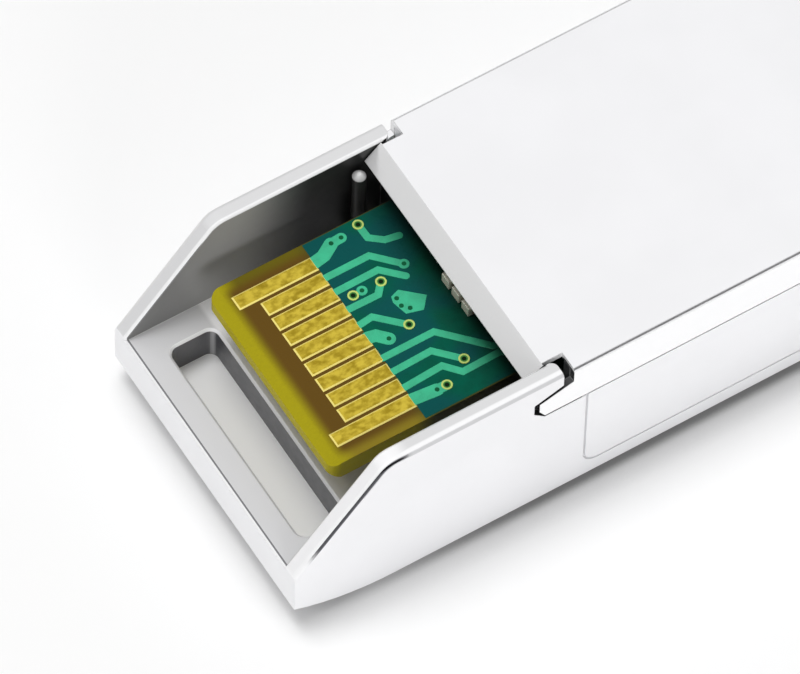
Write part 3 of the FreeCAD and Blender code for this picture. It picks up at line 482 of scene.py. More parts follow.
class Recipe(Nodes):
    """A material built up node by node, in the space of the piece that carries it."""

    def __init__(self, name, metallic=0.0, roughness=0.5, gloss=0.5):
        self.material = bpy.data.materials.new(name)
        self.material.use_nodes = True
        super().__init__(self.material.node_tree)
        self.shader = self.nodes["Principled BSDF"]
        self.set("Metallic", metallic)
        self.set("Roughness", roughness)
        self.set("Specular IOR Level", gloss)
        self.place = self.add("ShaderNodeTexCoord").outputs["Object"]

    def set(self, name, value):
        self.feed(self.shader.inputs[name], value)

    def noise(self, size, detail=2.0, stretch=(1.0, 1.0, 1.0)):
        """Cloudy values between 0 and 1 whose features are about size metres across."""
        mapped = self.add("ShaderNodeMapping", {"Vector": self.place, "Scale": stretch})
        node = self.add("ShaderNodeTexNoise", {
            "Vector": mapped.outputs[0], "Scale": 1.0 / size, "Detail": detail})
        return node.outputs[0]

    def axes(self):
        return tuple(self.add("ShaderNodeSeparateXYZ", {"Vector": self.place}).outputs)

    def level(self, low=0.45, high=0.55):
        """1 on level faces and 0 on those whose slope is steeper than the limits."""
        return self.span(self.math("ABSOLUTE", self.facing(2)), low, high)

    def facing(self, axis):
        """How far a face looks along an axis, from -1 to 1."""
        normal = self.add("ShaderNodeNewGeometry").outputs["True Normal"]
        return self.add("ShaderNodeSeparateXYZ", {"Vector": normal}).outputs[axis]

    def sideways(self):
        """1 on faces that look along Y and 0 on those that look along X or Z."""
        return self.math("ABSOLUTE", self.facing(1))

    def edges(self, radius):
        """The normal with sharp edges rounded off, and a mask of those edges."""
        rounded = self.add("ShaderNodeBevel", {"Radius": radius}, samples=6).outputs[0]
        flat = self.add("ShaderNodeNewGeometry").outputs["True Normal"]
        same = self.add("ShaderNodeVectorMath", {0: rounded, 1: flat}, operation="DOT_PRODUCT")
        return rounded, self.span(same.outputs["Value"], low=0.995, high=0.90)

    def uneven(self, pattern, roughness, less, more):
        """A roughness that follows a pattern, from roughness - less to roughness + more."""
        return self.span(pattern, *GRAINY, roughness - less, roughness + more)

    def bump(self, height, depth, normal=None):
        node = self.add("ShaderNodeBump", {"Height": height, "Distance": depth, "Strength": 1.0})
        if normal is not None:
            self.feed(node.inputs["Normal"], normal)
        self.set("Normal", node.outputs[0])


def scaled(value, factor):
    return tuple(min(1.0, part * factor) for part in value)


def edged(recipe, tone, edge_tone, radius=0.05 * MM, strength=0.5):
    """Sets the colour, with a painted highlight along sharp edges, and gives the normal that rounds
    them.
    """
    rounded_normal, rim = recipe.edges(radius)
    # Painted highlight along sharp edges.
    edge_highlight_mask = recipe.math("MULTIPLY", rim, strength)
    recipe.set("Base Color", recipe.mix(edge_highlight_mask, tone, edge_tone))
    return rounded_normal


def plated_metal(name, plate, roughness, grain, edge, depth=0.0004 * MM, shine=1.0, inside=None):
    """Plated metal with cloudy tone, soft grain and a painted highlight along its edges."""
    cloud_size = 5 * MM
    cloud_tone = 0.975
    recipe = Recipe(name, metallic=shine)
    cloud = recipe.span(recipe.noise(cloud_size, detail=3.0), *CLOUDY)
    fine = recipe.noise(grain)
    tone = recipe.mix(cloud, scaled(plate, cloud_tone), plate)
    rough = recipe.uneven(fine, roughness, less=0.03, more=0.03)
    if inside is not None:
        tone, mirror, rough = inside(recipe, tone, rough)
        recipe.set("Metallic", mirror)
    recipe.set("Roughness", rough)
    rounded_normal = edged(recipe, tone, EDGE_HIGHLIGHT, edge, strength=0.35)
    recipe.bump(fine, depth, rounded_normal)
    return recipe.material


def bay_tones(look):
    """Tones of the casting: its rims, the satin floor of the bay and the walls inside it, with
    painted shade, painted light and painted highlights.
    """
    wall_deep_shade = scaled(look.shaded_bay_wall, WALL_SHADE_SHARE)
    post_tip_shade = scaled(look.post_crown_highlight, POST_SHADE_SHARE)

    def paint(recipe, tone, rough):
        along, across, up = recipe.axes()
        side = recipe.math("ABSOLUTE", across)
        facing = recipe.sideways()
        rising = recipe.facing(2)

        inside = recipe.both(recipe.below(side, BAY_HALF), recipe.between(along, *BAY),
                             recipe.above(up, BAY_BOTTOM))
        floor = recipe.both(inside, recipe.level(*FLOOR_LEVEL), recipe.below(up, FLOOR_TOP))
        wall = recipe.both(inside, recipe.outside(recipe.level()))
        slot = recipe.both(recipe.below(up, SLOT_TOP), recipe.below(along, SLOT_END))

        # Painted light: the slot's floor is painted white.
        ground = recipe.mix(slot, look.bay_floor, WHITE)
        # Painted shade: a dark line along the rear edge of the bay's floor.
        floor_edge_shade_mask = recipe.both(floor, recipe.below(along, FLOOR_EDGE_SHADE_END))
        ground = recipe.mix(floor_edge_shade_mask, ground, look.seam)
        # Painted light: the floor between the slot and the board is painted as bright as the plate.
        ledge_light = recipe.hump(along, LEDGE_REAR_FADE, LEDGE_FRONT_FADE)
        ground = recipe.mix(ledge_light, ground, look.plate)

        # Painted shade on the bay's inner walls, more near the rear end and most towards the cover.
        face = recipe.mix(recipe.span(along, *BAY_END_FADE), look.shaded_bay_end, look.shaded_bay_wall)
        face = recipe.mix(recipe.span(along, *WALL_SHADE_FADE), face, wall_deep_shade)
        # Painted shade on the slot's walls, with a painted highlight on its round corners.
        corner = recipe.hump(facing, *SLOT_ROUND)
        face = recipe.mix(slot, face, recipe.mix(corner, look.slot_wall_shade, look.slot_corner_highlight))
        tone = recipe.mix(wall, recipe.mix(floor, tone, ground), face)

        # Painted highlight on the post's crown, with painted shade below it.
        tip = recipe.both(inside, recipe.above(up, POST_SHOULDER),
                          recipe.above(across, POST_TIP_SIDE),
                          recipe.above(rising, POST_TIP_RISE))
        crown = recipe.span(up, *POST_CROWN_FADE)
        tone = recipe.mix(tip, tone, recipe.mix(crown, post_tip_shade, look.post_crown_highlight))
        # Painted shade on the post's shaft.
        shaft = recipe.both(wall, recipe.between(across, *POST), recipe.above(along, POST_START),
                            recipe.outside(tip))
        tone = recipe.mix(shaft, tone, wall_deep_shade)

        # Painted shade on the walls' tops, with painted highlights on their bright edges and on the
        # near sloped rim's top.
        ridge = recipe.both(recipe.above(rising, RIDGE_RISE), recipe.above(side, BAY_HALF),
                            recipe.above(up, RIM_FOOT), recipe.below(along, RIDGE_END))
        far_edge = recipe.both(recipe.above(across, 0.0), recipe.span(side, *FAR_EDGE_FADE))
        near_slope = recipe.both(recipe.below(across, 0.0),
                                 recipe.span(along, *SLOPE_TOP_FADE, 0.0, look.slope_highlight))
        lit = recipe.either(recipe.span(across, *NEAR_RIM_FADE), far_edge, near_slope)
        tone = recipe.mix(ridge, tone, recipe.mix(lit, look.ridge, look.rim_highlight))
        # Painted shade on the lower part of the near wall's rounded edge.
        near_edge = recipe.below(across, NEAR_EDGE)
        lower_turn = recipe.both(near_edge, recipe.hump(facing, *LOWER_TURN),
                                 recipe.above(up, TURN_FOOT), recipe.below(along, TURN_END))
        tone = recipe.mix(lower_turn, tone, look.rim_turn_shade)
        # Painted reflection: a dark line on the near sloped rim's round, which also mirrors fully
        # with less roughness.
        line = recipe.both(recipe.hump(facing, *RIM_REFLECTION_FACING),
                           recipe.hump(along, SLOPE_TOP_FADE, SLOPE_FOOT_FADE),
                           near_edge, recipe.above(up, RIM_FOOT))
        tone = recipe.mix(line, tone, look.rim_reflection_line)

        # Painted shade in the near corner notch.
        low_or_behind = recipe.either(recipe.below(up, NOTCH_ROOF), recipe.above(along, NOTCH_BACK))
        notch = recipe.both(recipe.between(across, NOTCH_SIDE, -BAY_HALF), low_or_behind,
                            recipe.above(up, NOTCH_FOOT), recipe.between(along, *NEAR_NOTCH))
        tone = recipe.mix(notch, tone, look.notch_shade)

        sides = recipe.span(along, *NOSE_FADE, look.side_shine, look.nose_shine)
        mirror = recipe.mix_value(recipe.level(*TOP_LEVEL), sides, look.shine)
        mirror = recipe.either(mirror, line)
        skin = recipe.either(floor, wall, notch)
        mirror = recipe.both(mirror, recipe.blend(skin, 1.0, look.bay_shine))
        polish = recipe.blend(line, 1.0, look.polish)
        return tone, mirror, recipe.math("MULTIPLY", rough, polish)
    return paint


def flange_tones(look):
    """Less mirror on the cover's flanges and lip, painted light on the flanges, painted shade on
    the lip, and painted shade in its near corner notch.
    """
    def paint(recipe, tone, rough):
        along, across, up = recipe.axes()
        # Painted light: the flanges are painted brighter than the top.
        upright = recipe.span(recipe.level(*FLANGE_LEVEL), 1.0, 0.0)
        tone = recipe.mix(upright, tone, look.flange_light)
        mirror = recipe.blend(upright, look.cover_shine, look.side_shine)
        # Painted shade in the cover's near corner notch, which also mirrors nothing.
        notch = recipe.both(recipe.below(across, COVER_NOTCH_SIDE),
                            recipe.below(up, COVER_NOTCH_TOP), recipe.below(along, LIP_END),
                            recipe.below(recipe.sideways(), COVER_NOTCH_FACING))
        tone = recipe.mix(notch, tone, look.notch_shade)
        # Painted shade: the lip is painted darker than the top.
        lip = recipe.both(recipe.hump(recipe.facing(0), *LIP_SLOPE),
                          recipe.below(along, LIP_END))
        tone = recipe.mix(lip, tone, look.lip)
        mirror = recipe.mix_value(lip, mirror, look.lip_shine)
        return tone, recipe.both(mirror, recipe.outside(notch)), rough
    return paint


def moulded(name, base, roughness, grain):
    """Moulded plastic with a fine grain and a painted highlight along its edges."""
    cloud_size = 2 * MM
    cloud_tone = 0.85
    edge_light = 1.8
    depth = 0.002 * MM
    recipe = Recipe(name)
    fine = recipe.noise(grain, detail=4.0)
    cloud = recipe.span(recipe.noise(cloud_size), *CLOUDY)
    tone = recipe.mix(cloud, scaled(base, cloud_tone), base)
    rounded_normal = edged(recipe, tone, scaled(base, edge_light))
    recipe.set("Roughness", recipe.uneven(fine, roughness, less=0.06, more=0.08))
    recipe.bump(fine, depth, rounded_normal)
    return recipe.material


def turned_metal(name, base, roughness):
    """Metal with fine turning rings along X."""
    ring_size = 0.5 * MM
    ring_tone = 0.88
    edge_light = 1.2
    depth = 0.001 * MM
    recipe = Recipe(name, metallic=1.0)
    rings = recipe.noise(ring_size, stretch=(14.0, 0.4, 0.4))
    tone = recipe.mix(recipe.span(rings, *GRAINY), scaled(base, ring_tone), base)
    rounded_normal = edged(recipe, tone, scaled(base, edge_light))
    recipe.set("Roughness", recipe.uneven(rings, roughness, less=0.06, more=0.06))
    recipe.bump(rings, depth, rounded_normal)
    return recipe.material


def shaded_by_lip(recipe, tone):
    """The tone of the board's face, with painted shade that darkens it towards the cover's lip."""
    under_lip = recipe.span(recipe.axes()[0], *LIP_SHADE_FADE)
    return recipe.mix(under_lip, tone, recipe.mix(LIP_SHADE_SHARE, tone, LIP_SHADE))


def glazed(name, base, roughness, gloss=0.5, board=False, patch=None):
    """Ceramic, mask or film with a slightly uneven gloss; on the board, with painted shade towards
    the cover's lip.
    """
    cloud_size = 0.5 * MM
    cloud_tone = 0.88
    patch_size = 2.2 * MM
    fine_size = 0.06 * MM
    depth = 0.0008 * MM
    recipe = Recipe(name, gloss=gloss)
    cloud = recipe.noise(cloud_size, detail=3.0)
    fine = recipe.noise(fine_size)
    tone = recipe.mix(recipe.span(cloud, *CLOUDY), scaled(base, cloud_tone), base)
    if patch is not None:
        patches = recipe.span(recipe.noise(patch_size, detail=1.0), *PATCHY)
        tone = recipe.mix(patches, tone, patch)
    recipe.set("Base Color", shaded_by_lip(recipe, tone) if board else tone)
    recipe.set("Roughness", recipe.uneven(cloud, roughness, less=0.06, more=0.08))
    recipe.bump(fine, depth)
    return recipe.material


def bare_laminate(look):
    """Olive laminate, browner around the contacts, with a faint weave, and painted shade along its
    long edges, from the mask's start on and towards the cover's lip.
    """
    weave_size = 0.12 * MM
    weave_tone = 0.9
    side_tone = 1.15
    depth = 0.0015 * MM
    recipe = Recipe("bare_laminate", gloss=0.15)
    along, across, up = recipe.axes()
    side = recipe.math("ABSOLUTE", across)
    upper = recipe.above(up, UPPER_FACE)
    weave = recipe.noise(weave_size, stretch=(1.0, 4.0, 1.0))
    tone = recipe.mix(recipe.span(weave, *GRAINY), scaled(look.laminate, weave_tone), look.laminate)
    tone = recipe.mix(recipe.level(), scaled(look.laminate, side_tone), tone)
    # Painted shade along the board's long edges.
    strip_shade = recipe.mix(recipe.above(across, 0.0), look.near_strip_shade, look.far_strip_shade)
    strip = recipe.both(recipe.span(along, *STRIP_FADE), upper)
    tone = recipe.mix(strip, tone, strip_shade)
    shade = recipe.both(recipe.span(along, *SHADE_FADE), recipe.span(side, *SHADE_SIDE_FADE), upper)
    tone = recipe.mix(shade, tone, look.shade)
    # Painted shade on the laminate from the start of the solder mask on.
    tone = recipe.mix(recipe.span(along, *BORDER_FADE), tone, look.border_shade)
    recipe.set("Base Color", shaded_by_lip(recipe, tone))
    recipe.set("Roughness", recipe.uneven(weave, roughness=0.42, less=0.06, more=0.06))
    recipe.bump(weave, depth)
    return recipe.material


def hard_gold(look):
    """Gold plate with soft darker patches, a painted highlight on its bevelled rim and a slightly
    wavy surface.
    """
    fleck_size = 0.22 * MM
    wave_size = 0.3 * MM
    wave_depth = 0.004 * MM
    rim_mirror = 0.25
    recipe = Recipe("hard_gold", metallic=1.0)
    fleck = recipe.noise(fleck_size, detail=3.0, stretch=(0.7, 1.0, 1.0))
    wave = recipe.noise(wave_size, detail=1.0)
    tone = recipe.mix(recipe.span(fleck, *GRAINY), look.fleck, look.gold)
    # Painted highlight on the bevelled rims.
    flat = recipe.level(*CONTACT_LEVEL)
    recipe.set("Base Color", recipe.mix(flat, look.rim, tone))
    recipe.set("Metallic", recipe.blend(flat, rim_mirror, 1.0))
    recipe.set("Roughness", recipe.uneven(fleck, look.roughness, less=-0.06, more=-0.06))
    recipe.bump(wave, wave_depth)
    return recipe.material


def coat(node, material):
    """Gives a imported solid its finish."""
    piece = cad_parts[node]
    if not piece.material_slots:
        raise RuntimeError("no material slot on " + node)
    for slot in piece.material_slots:
        slot.link = "OBJECT"
        slot.material = material


def to_object(context, name, made, material):
    """Turns a bmesh into an object of the scene with one finish."""
    mesh = bpy.data.meshes.new(name)
    made.to_mesh(mesh)
    made.free()
    mesh.materials.append(material)
    new_object = bpy.data.objects.new(name, mesh)
    context.collection.objects.link(new_object)
    return new_object


def add_piece(context, name, made, material, replaces=()):
    """Turns a bmesh into a piece that rides on the housing."""
    bmesh.ops.recalc_face_normals(made, faces=made.faces)
    piece = to_object(context, name, made, material)
    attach(piece, "housing")
    if replaces:
        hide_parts(*replaces)
    return piece


def on_board(point):
    return Vector((REAR + point[0] * MM, point[1] * MM))


def circle(centre, radius, steps=28):
    return [Vector((centre.x + radius * math.cos(2 * math.pi * i / steps),
                    centre.y + radius * math.sin(2 * math.pi * i / steps))) for i in range(steps)]


def shrunk(loop, inset):
    """A counter-clockwise loop moved inwards by inset."""
    made = []
    least_turn = 0.3
    for i, corner in enumerate(loop):
        before = (corner - loop[i - 1]).normalized()
        after = (loop[(i + 1) % len(loop)] - corner).normalized()
        inward = Vector((-before.y - after.y, before.x + after.x))
        inward.normalize()
        reach = inset / max(least_turn, inward.dot(Vector((-after.y, after.x))))
        made.append(corner + inward * reach)
    return made


def slab(made, loop, low, high, bevel=0.0, rise=0.5):
    """A flat plate on a loop from low to high, with its rim at high bevelled by bevel."""
    rings = [(loop, low), (loop, low + (high - low) * rise), (shrunk(loop, bevel), high)]
    if not bevel:
        rings = [(loop, low), (loop, high)]
    rows = [[made.verts.new((p.x, p.y, z)) for p in ring] for ring, z in rings]
    for lower, upper in zip(rows, rows[1:]):
        for i in range(len(loop)):
            k = (i + 1) % len(loop)
            made.faces.new((lower[i], lower[k], upper[k], upper[i]))
    made.faces.new(rows[-1])
    made.faces.new(list(reversed(rows[0])))


def washer(made, centre, inner, outer, low, high, steps=28):
    """A flat ring with a hole."""
    rows = [[made.verts.new((p.x, p.y, z)) for p in circle(centre, radius, steps)]
            for radius, z in ((inner, low), (outer, low), (outer, high), (inner, high))]
    for a, b in zip(rows, rows[1:] + rows[:1]):
        for i in range(steps):
            k = (i + 1) % steps
            made.faces.new((a[i], a[k], b[k], b[i]))


def ribbon(points, width, steps=8):
    """Counter-clockwise outline of a line of that width with round ends."""
    half = width / 2
    runs = [(b - a).normalized() for a, b in zip(points, points[1:])]
    sides = [Vector((-run.y, run.x)) for run in runs]
    left, right = [], []
    for i, point in enumerate(points):
        before, after = sides[max(i - 1, 0)], sides[min(i, len(sides) - 1)]
        middle = (before + after).normalized()
        offset = middle * (half / middle.dot(after))
        left.append(point + offset)
        right.append(point - offset)

    def cap(centre, start):
        turns = [math.pi * k / steps for k in range(1, steps)]
        return [centre + Matrix.Rotation(turn, 2) @ start for turn in turns]
    return (right + cap(points[-1], -sides[-1] * half)
            + list(reversed(left)) + cap(points[0], sides[0] * half))


def rounded(points, reach, steps=6):
    """A line with each inner corner turned into a curve that starts reach before it."""
    made = [points[0]]
    for before, corner, after in zip(points, points[1:], points[2:]):
        start = corner + (before - corner).normalized() * reach
        end = corner + (after - corner).normalized() * reach
        for k in range(steps + 1):
            turn = k / steps
            made.append(start.lerp(corner, turn).lerp(corner.lerp(end, turn), turn))
    return made + [points[-1]]


class TRANSCEIVER_OT_housing(bpy.types.Operator):
    """Finishes the die casting: plated outside, satin inside the card bay, with painted shade on
    its walls
    """
    bl_idname = "transceiver.housing"
    bl_label = "Housing"

    def execute(self, context):
        look = context.scene.transceiver.housing
        nickel = plated_metal("cast_nickel", look.plate, look.roughness, look.grain, look.edge,
                              shine=look.shine, inside=bay_tones(look))
        coat("base_housing", nickel)
        return {"FINISHED"}


class TRANSCEIVER_OT_cover(bpy.types.Operator):
    """Finishes the folded cover and the spring clip round the nose"""
    bl_idname = "transceiver.cover"
    bl_label = "Cover and clip"

    def execute(self, context):
        look = context.scene.transceiver.housing
        sheet = plated_metal("sheet_nickel", look.cover, look.cover_roughness, look.grain,
                             look.edge, depth=0.0002 * MM, shine=look.cover_shine,
                             inside=flange_tones(look))
        coat("cover", sheet)
        spring = context.scene.transceiver.latch.spring
        clip_edge = look.edge * 0.6
        coat("emi_clip", plated_metal("clip_sheet", spring, roughness=0.22, grain=look.grain,
                                      edge=clip_edge))
        return {"FINISHED"}


class TRANSCEIVER_OT_board(bpy.types.Operator):
    """Makes the solder mask, traces and vias, and finishes the laminate"""
    bl_idname = "transceiver.board"
    bl_label = "Board"

    def execute(self, context):
        look = context.scene.transceiver.board
        coat("circuit_board", bare_laminate(look))
        film = BOARD_TOP + look.mask_thick
        copper = film + look.copper_thick
        self.mask(context, look, film)
        self.traces(context, look, film, copper)
        self.vias(context, look, film, copper)
        return {"FINISHED"}

    def mask(self, context, look, film):
        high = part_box("circuit_board")[1]
        start = REAR + MASK_START * MM
        wide = high.y
        spread = CARD_END + wide - CARD_HALF
        clear_far = 0.04 * MM
        clear_near = 0.05 * MM
        near = [(start, -CARD_HALF), (CARD_END, -CARD_HALF), (spread, -wide), (high.x, -wide)]
        far = [(x, -y) for x, y in reversed(near)]
        outline = [Vector((x, y + clear_near)) for x, y in near]
        outline += [Vector((x, y - clear_far)) for x, y in far]
        material = glazed("solder_mask", look.mask, roughness=0.30, gloss=0.05, board=True,
                          patch=look.mask_patch)
        for name, face, top in (
                ("solder_mask_upper", BOARD_TOP, film),
                ("solder_mask_lower", BOARD_UNDER, BOARD_UNDER + look.mask_thick)):
            made = bmesh.new()
            slab(made, outline, face - look.mask_thick, top)
            add_piece(context, name, made, material)

    def traces(self, context, look, film, copper):
        rim = look.copper_thick * TRACE_BEVEL
        lift = look.copper_thick * OVERLAP_LIFT
        kinds = {"fine": (look.fine, copper), "wide": (look.wide, copper),
                 "collar": (look.ring_outer * 2, copper + lift)}
        made = bmesh.new()
        for kind, points in TRACES:
            width, top = kinds[kind]
            slab(made, ribbon([on_board(p) for p in points], width), film, top, bevel=rim)
        for centre in COATED_VIAS:
            disc = circle(on_board(centre), look.ring_outer)
            slab(made, disc, film, copper + 2 * lift, bevel=rim)
        slab(made, [on_board(p) for p in reversed(POUR)], film, copper, bevel=rim)
        material = glazed("coated_copper", look.trace, roughness=0.30, gloss=0.2, board=True)
        add_piece(context, "coated_traces", made, material)

    def vias(self, context, look, film, copper):
        ring = glazed("via_plate", look.ring, roughness=0.28, gloss=0.3, board=True)
        barrel = glazed("via_barrel", look.barrel, roughness=0.4, gloss=0.1)
        # Painted shade: a dark disc in each open via stands for its hole.
        hole = glazed("via_hole_shade", look.hole, roughness=0.5, gloss=0.05)
        dimple = glazed("via_coated", look.dimple, roughness=0.4, gloss=0.1)
        coated = COATED_VIAS + POUR_DOTS
        for name, material, centres, inner, outer, rise in (
                ("via_rings", ring, OPEN_VIAS, look.ring_inner, look.ring_outer, RING_RISE),
                ("via_barrels", barrel, OPEN_VIAS, look.hole_radius, look.ring_inner, BARREL_RISE),
                ("via_holes", hole, OPEN_VIAS, 0.0, look.hole_radius, HOLE_RISE),
                ("via_dimples", dimple, coated, 0.0, look.hole_radius, DIMPLE_RISE)):
            made = bmesh.new()
            top = copper + look.copper_thick * rise
            for centre in centres:
                if inner:
                    washer(made, on_board(centre), inner, outer, film, top)
                else:
                    slab(made, circle(on_board(centre), outer), film, top)
            add_piece(context, name, made, material)


class TRANSCEIVER_OT_contacts(bpy.types.Operator):
    """Makes the bevelled gold contacts on both faces of the card edge"""
    bl_idname = "transceiver.contacts"
    bl_label = "Contacts"

    def execute(self, context):
        look = context.scene.transceiver.contacts
        gold = hard_gold(look)
        for name, node, low, high in (
                ("contact_plates_upper", "contacts_upper", BOARD_TOP, CONTACT_TOP),
                ("contact_plates_lower", "contacts_lower", BOARD_UNDER, CONTACT_FLOOR)):
            made = bmesh.new()
            for i in range(CONTACTS):
                middle = look.pitch * ((CONTACTS - 1) / 2 - i)
                near, far = middle - look.width / 2, middle + look.width / 2
                start = REAR + (look.long_start if i in LONG_CONTACTS else look.short_start)
                end = REAR + look.end
                loop = [Vector(p) for p in ((start, near), (end, near), (end, far), (start, far))]
                slab(made, loop, low, high, bevel=look.bevel, rise=CONTACT_RISE)
            add_piece(context, name, made, gold, (node,))
        return {"FINISHED"}


class TRANSCEIVER_OT_components(bpy.types.Operator):
    """Finishes the chip parts, packages and filler pad on the board"""
    bl_idname = "transceiver.components"
    bl_label = "Components"

    def execute(self, context):
        look = context.scene.transceiver.inner
        coat("chip_bodies", glazed("chip_ceramic", look.ceramic, roughness=0.45))
        coat("chip_ends", plated_metal("solder_tin", look.tin, roughness=0.32, grain=0.1 * MM,
                                       edge=0.05 * MM, shine=0.3))
        package = moulded("package_black", look.package, roughness=0.55, grain=0.05 * MM)
        for node in ("controller_ic", "amplifier_ic", "driver_ic"):
            coat(node, package)
        coat("thermal_pad", moulded("pad_filler", look.pad, roughness=0.8, grain=0.12 * MM))
        return {"FINISHED"}


class TRANSCEIVER_OT_optics(bpy.types.Operator):
    """Finishes the transmit and receive optics, their clamp and the port lining"""
    bl_idname = "transceiver.optics"
    bl_label = "Optics and ports"

    def execute(self, context):
        look = context.scene.transceiver.inner
        steel = turned_metal("turned_steel", look.steel, roughness=0.3)
        can = turned_metal("can_gold", look.can, roughness=0.28)
        ceramic = glazed("sleeve_ceramic", look.sleeve, roughness=0.2)
        flex = glazed("flex_film", look.flex, roughness=0.35)
        for side in ("tosa", "rosa"):
            coat(side + "_barrel", steel)
            coat(side + "_can", can)
            coat(side + "_sleeve", ceramic)
            coat(side + "_flex", flex)
        plastic = moulded("port_plastic", look.plastic, roughness=0.45, grain=0.08 * MM)
        coat("port_insert", plastic)
        coat("osa_clamp", plastic)
        return {"FINISHED"}


class TRANSCEIVER_OT_latch(bpy.types.Operator):
    """Finishes the bail, rocker and pin of the latch, and makes its leaf spring"""
    bl_idname = "transceiver.latch"
    bl_label = "Latch"

    def execute(self, context):
        look = context.scene.transceiver.latch
        grain = context.scene.transceiver.housing.grain
        coat("bail", plated_metal("bail_nickel", look.bail, look.roughness, grain,
                                  edge=0.08 * MM))
        coat("latch_rocker", plated_metal("rocker_nickel", look.rocker, look.roughness, grain,
                                          edge=0.06 * MM))
        coat("rocker_pin", turned_metal("pin_steel", look.spring, roughness=0.25))
        sheet = plated_metal("spring_sheet", look.spring, roughness=0.2, grain=grain,
                             edge=0.03 * MM)
        self.leaf(context, look, sheet)
        return {"FINISHED"}

    def leaf(self, context, look, material):
        """The leaf spring: a foot that lies flat in its channel, a rise to its crest and a short
        turn down.
        """
        low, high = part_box("latch_spring")
        thick = look.leaf_thick
        turn_down = 3 * thick
        heel = Vector((high.x - look.leaf_foot, low.z))
        crest = Vector((low.x + turn_down, high.z - thick))
        corners = [Vector((high.x, low.z)), heel, crest, Vector((low.x, high.z - turn_down))]
        under = rounded(corners, look.leaf_bend)
        section = ((low.y, 0.0), (high.y, 0.0), (high.y, thick), (low.y, thick))
        made = bmesh.new()
        rows = [[made.verts.new((p.x, y, p.y + lift)) for y, lift in section] for p in under]
        for a, b in zip(rows, rows[1:]):
            for i in range(len(section)):
                k = (i + 1) % len(section)
                made.faces.new((a[i], a[k], b[k], b[i]))
        made.faces.new(rows[0])
        made.faces.new(list(reversed(rows[-1])))
        piece = add_piece(context, "spring_leaf", made, material,
                          ("latch_spring",))
        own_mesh(piece)


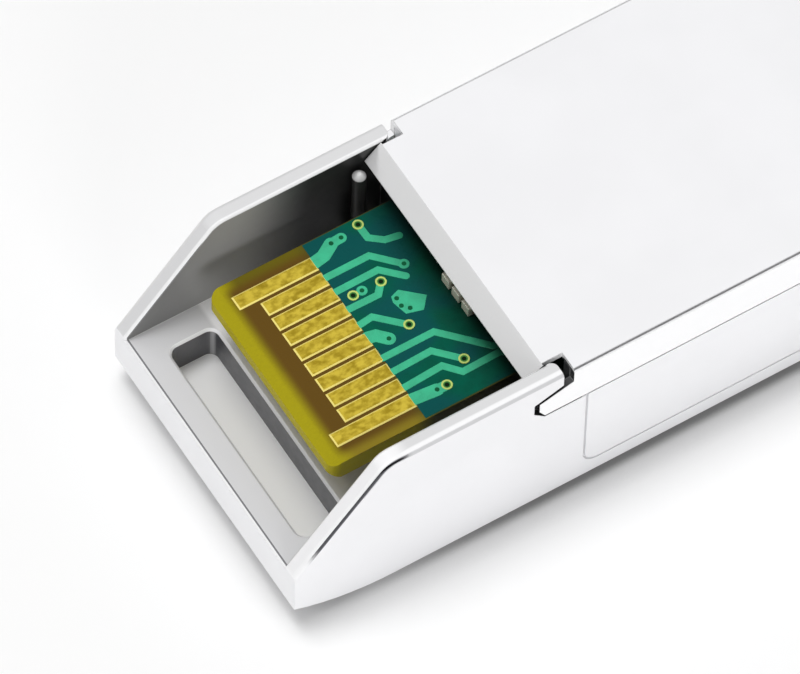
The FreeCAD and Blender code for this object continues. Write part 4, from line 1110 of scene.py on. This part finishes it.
class TRANSCEIVER_OT_stage(bpy.types.Operator):
    """Sets out the pale floor, the soft light and the camera"""
    bl_idname = "transceiver.stage"
    bl_label = "Stage"

    def execute(self, context):
        look = context.scene.transceiver.stage
        self.floor(context, look)
        self.world(context, look)
        self.lamps(context, look)
        self.camera(context, look)
        context.scene.view_settings.view_transform = "Standard"
        return {"FINISHED"}

    def floor(self, context, look):
        recipe = Recipe("floor_paper", roughness=0.9, gloss=0.0)
        paper = recipe.mix(recipe.noise(PAPER_GRAIN), look.floor, scaled(look.floor, PAPER_LIGHT))
        along = recipe.axes()[0]
        seen = recipe.seen()
        light_left = []
        # Painted shadow: two occlusion terms darken the floor near the part's foot, less at the
        # tail, for rays from the camera, mirrored ones and those through glass.
        for reach, tone, at_tail in ((look.contact, look.contact_tone, look.contact_behind),
                                     (look.foot_line, look.foot_tone, look.foot_behind)):
            behind = recipe.span(along, *TAIL_FADE, at_tail, 1.0)
            sky = recipe.add("ShaderNodeAmbientOcclusion", {"Distance": reach}).outputs["AO"]
            foot = recipe.both(recipe.span(sky, *OPEN_SKY, 1.0, 0.0), behind, seen)
            light_left.append(recipe.blend(foot, 1.0, tone))
        recipe.set("Base Color", recipe.mix(recipe.both(*light_left), BLACK, paper))
        made = bmesh.new()
        rim = circle(Vector((0.0, 0.0)), FLOOR_RADIUS, FLOOR_STEPS)
        made.faces.new([made.verts.new((p.x, p.y, CAD_LOW.z - FLOOR_DROP)) for p in rim])
        floor = to_object(context, "floor", made, recipe.material)

    def world(self, context, look):
        world = bpy.data.worlds.new("soft_room")
        world.use_nodes = True
        context.scene.world = world
        room = Nodes(world.node_tree)
        room.nodes.clear()
        camera_ray = room.add("ShaderNodeLightPath").outputs["Is Camera Ray"]
        direction = room.add("ShaderNodeTexCoord").outputs["Generated"]
        toward = room.add("ShaderNodeSeparateXYZ", {"Vector": direction}).outputs
        right = room.span(toward[1], *FLAG_SIDE, look.flag, 0.0)
        low_sky = room.span(toward[2], *FLAG_TOP, 1.0, 0.0)
        rise = room.span(toward[2], *SKY_RISE, look.horizon, 1.0)
        flagged = room.both(rise, room.both(right, low_sky))
        shaded = room.math("SUBTRACT", rise, flagged)
        level = room.mix_value(camera_ray, shaded, 1.0)
        backdrop = room.add("ShaderNodeBackground", {"Color": look.backdrop, "Strength": level})
        fill = room.add("ShaderNodeBackground", {"Color": look.backdrop, "Strength": look.fill})
        choice = room.add("ShaderNodeMixShader", {
            0: room.seen(), 1: fill.outputs[0], 2: backdrop.outputs[0]})
        room.add("ShaderNodeOutputWorld", {"Surface": choice.outputs[0]})

    def lamps(self, context, look):
        for name, watts, place in (
                ("key_light", look.key_watts, KEY_PLACE),
                ("side_light", look.side_watts, SIDE_PLACE)):
            lamp = bpy.data.lights.new(name, "AREA")
            lamp.energy = watts
            lamp.size = look.lamp_size
            holder = bpy.data.objects.new(name, lamp)
            holder.matrix_world = aimed(Vector(place), Vector())
            holder.visible_camera = False
            holder.visible_glossy = False
            context.collection.objects.link(holder)

    def camera(self, context, look):
        lens = bpy.data.cameras.new("camera")
        lens.lens = look.lens
        lens.sensor_width = SENSOR_WIDTH
        lens.clip_start = CLIP_START
        lens.clip_end = CLIP_END
        camera = bpy.data.objects.new("camera", lens)
        camera.matrix_world = aimed(Vector(look.camera_place), Vector(look.camera_aim), look.roll)
        context.collection.objects.link(camera)
        context.scene.camera = camera


def aimed(place, target, roll=0.0):
    """The matrix of a lamp or camera at place that looks at target."""
    turn = (target - place).to_track_quat("-Z", "Y").to_matrix().to_4x4()
    return Matrix.Translation(place) @ turn @ Matrix.Rotation(roll, 4, "Z")


OPERATORS = (TRANSCEIVER_OT_housing, TRANSCEIVER_OT_cover, TRANSCEIVER_OT_board,
             TRANSCEIVER_OT_contacts, TRANSCEIVER_OT_components, TRANSCEIVER_OT_optics,
             TRANSCEIVER_OT_latch, TRANSCEIVER_OT_stage)


class TRANSCEIVER_PT_panel(bpy.types.Panel):
    """Lists the steps that dress the transceiver"""
    bl_idname = "TRANSCEIVER_PT_panel"
    bl_label = "Transceiver"
    bl_space_type = "VIEW_3D"
    bl_region_type = "UI"
    bl_category = "Transceiver"

    def draw(self, context):
        for operator in OPERATORS:
            self.layout.operator(operator.bl_idname)


CLASSES = (HousingLook, BoardLook, ContactLook, InnerLook, LatchLook, StageLook,
           TransceiverLook, *OPERATORS, TRANSCEIVER_PT_panel)


def register():
    for item in CLASSES:
        bpy.utils.register_class(item)
    bpy.types.Scene.transceiver = PointerProperty(type=TransceiverLook)


def unregister():
    del bpy.types.Scene.transceiver
    for item in reversed(CLASSES):
        bpy.utils.unregister_class(item)


def main():
    register()
    bpy.ops.transceiver.housing()
    bpy.ops.transceiver.cover()
    bpy.ops.transceiver.board()
    bpy.ops.transceiver.contacts()
    bpy.ops.transceiver.components()
    bpy.ops.transceiver.optics()
    bpy.ops.transceiver.latch()
    bpy.ops.transceiver.stage()


if __name__ == "__main__":
    main()
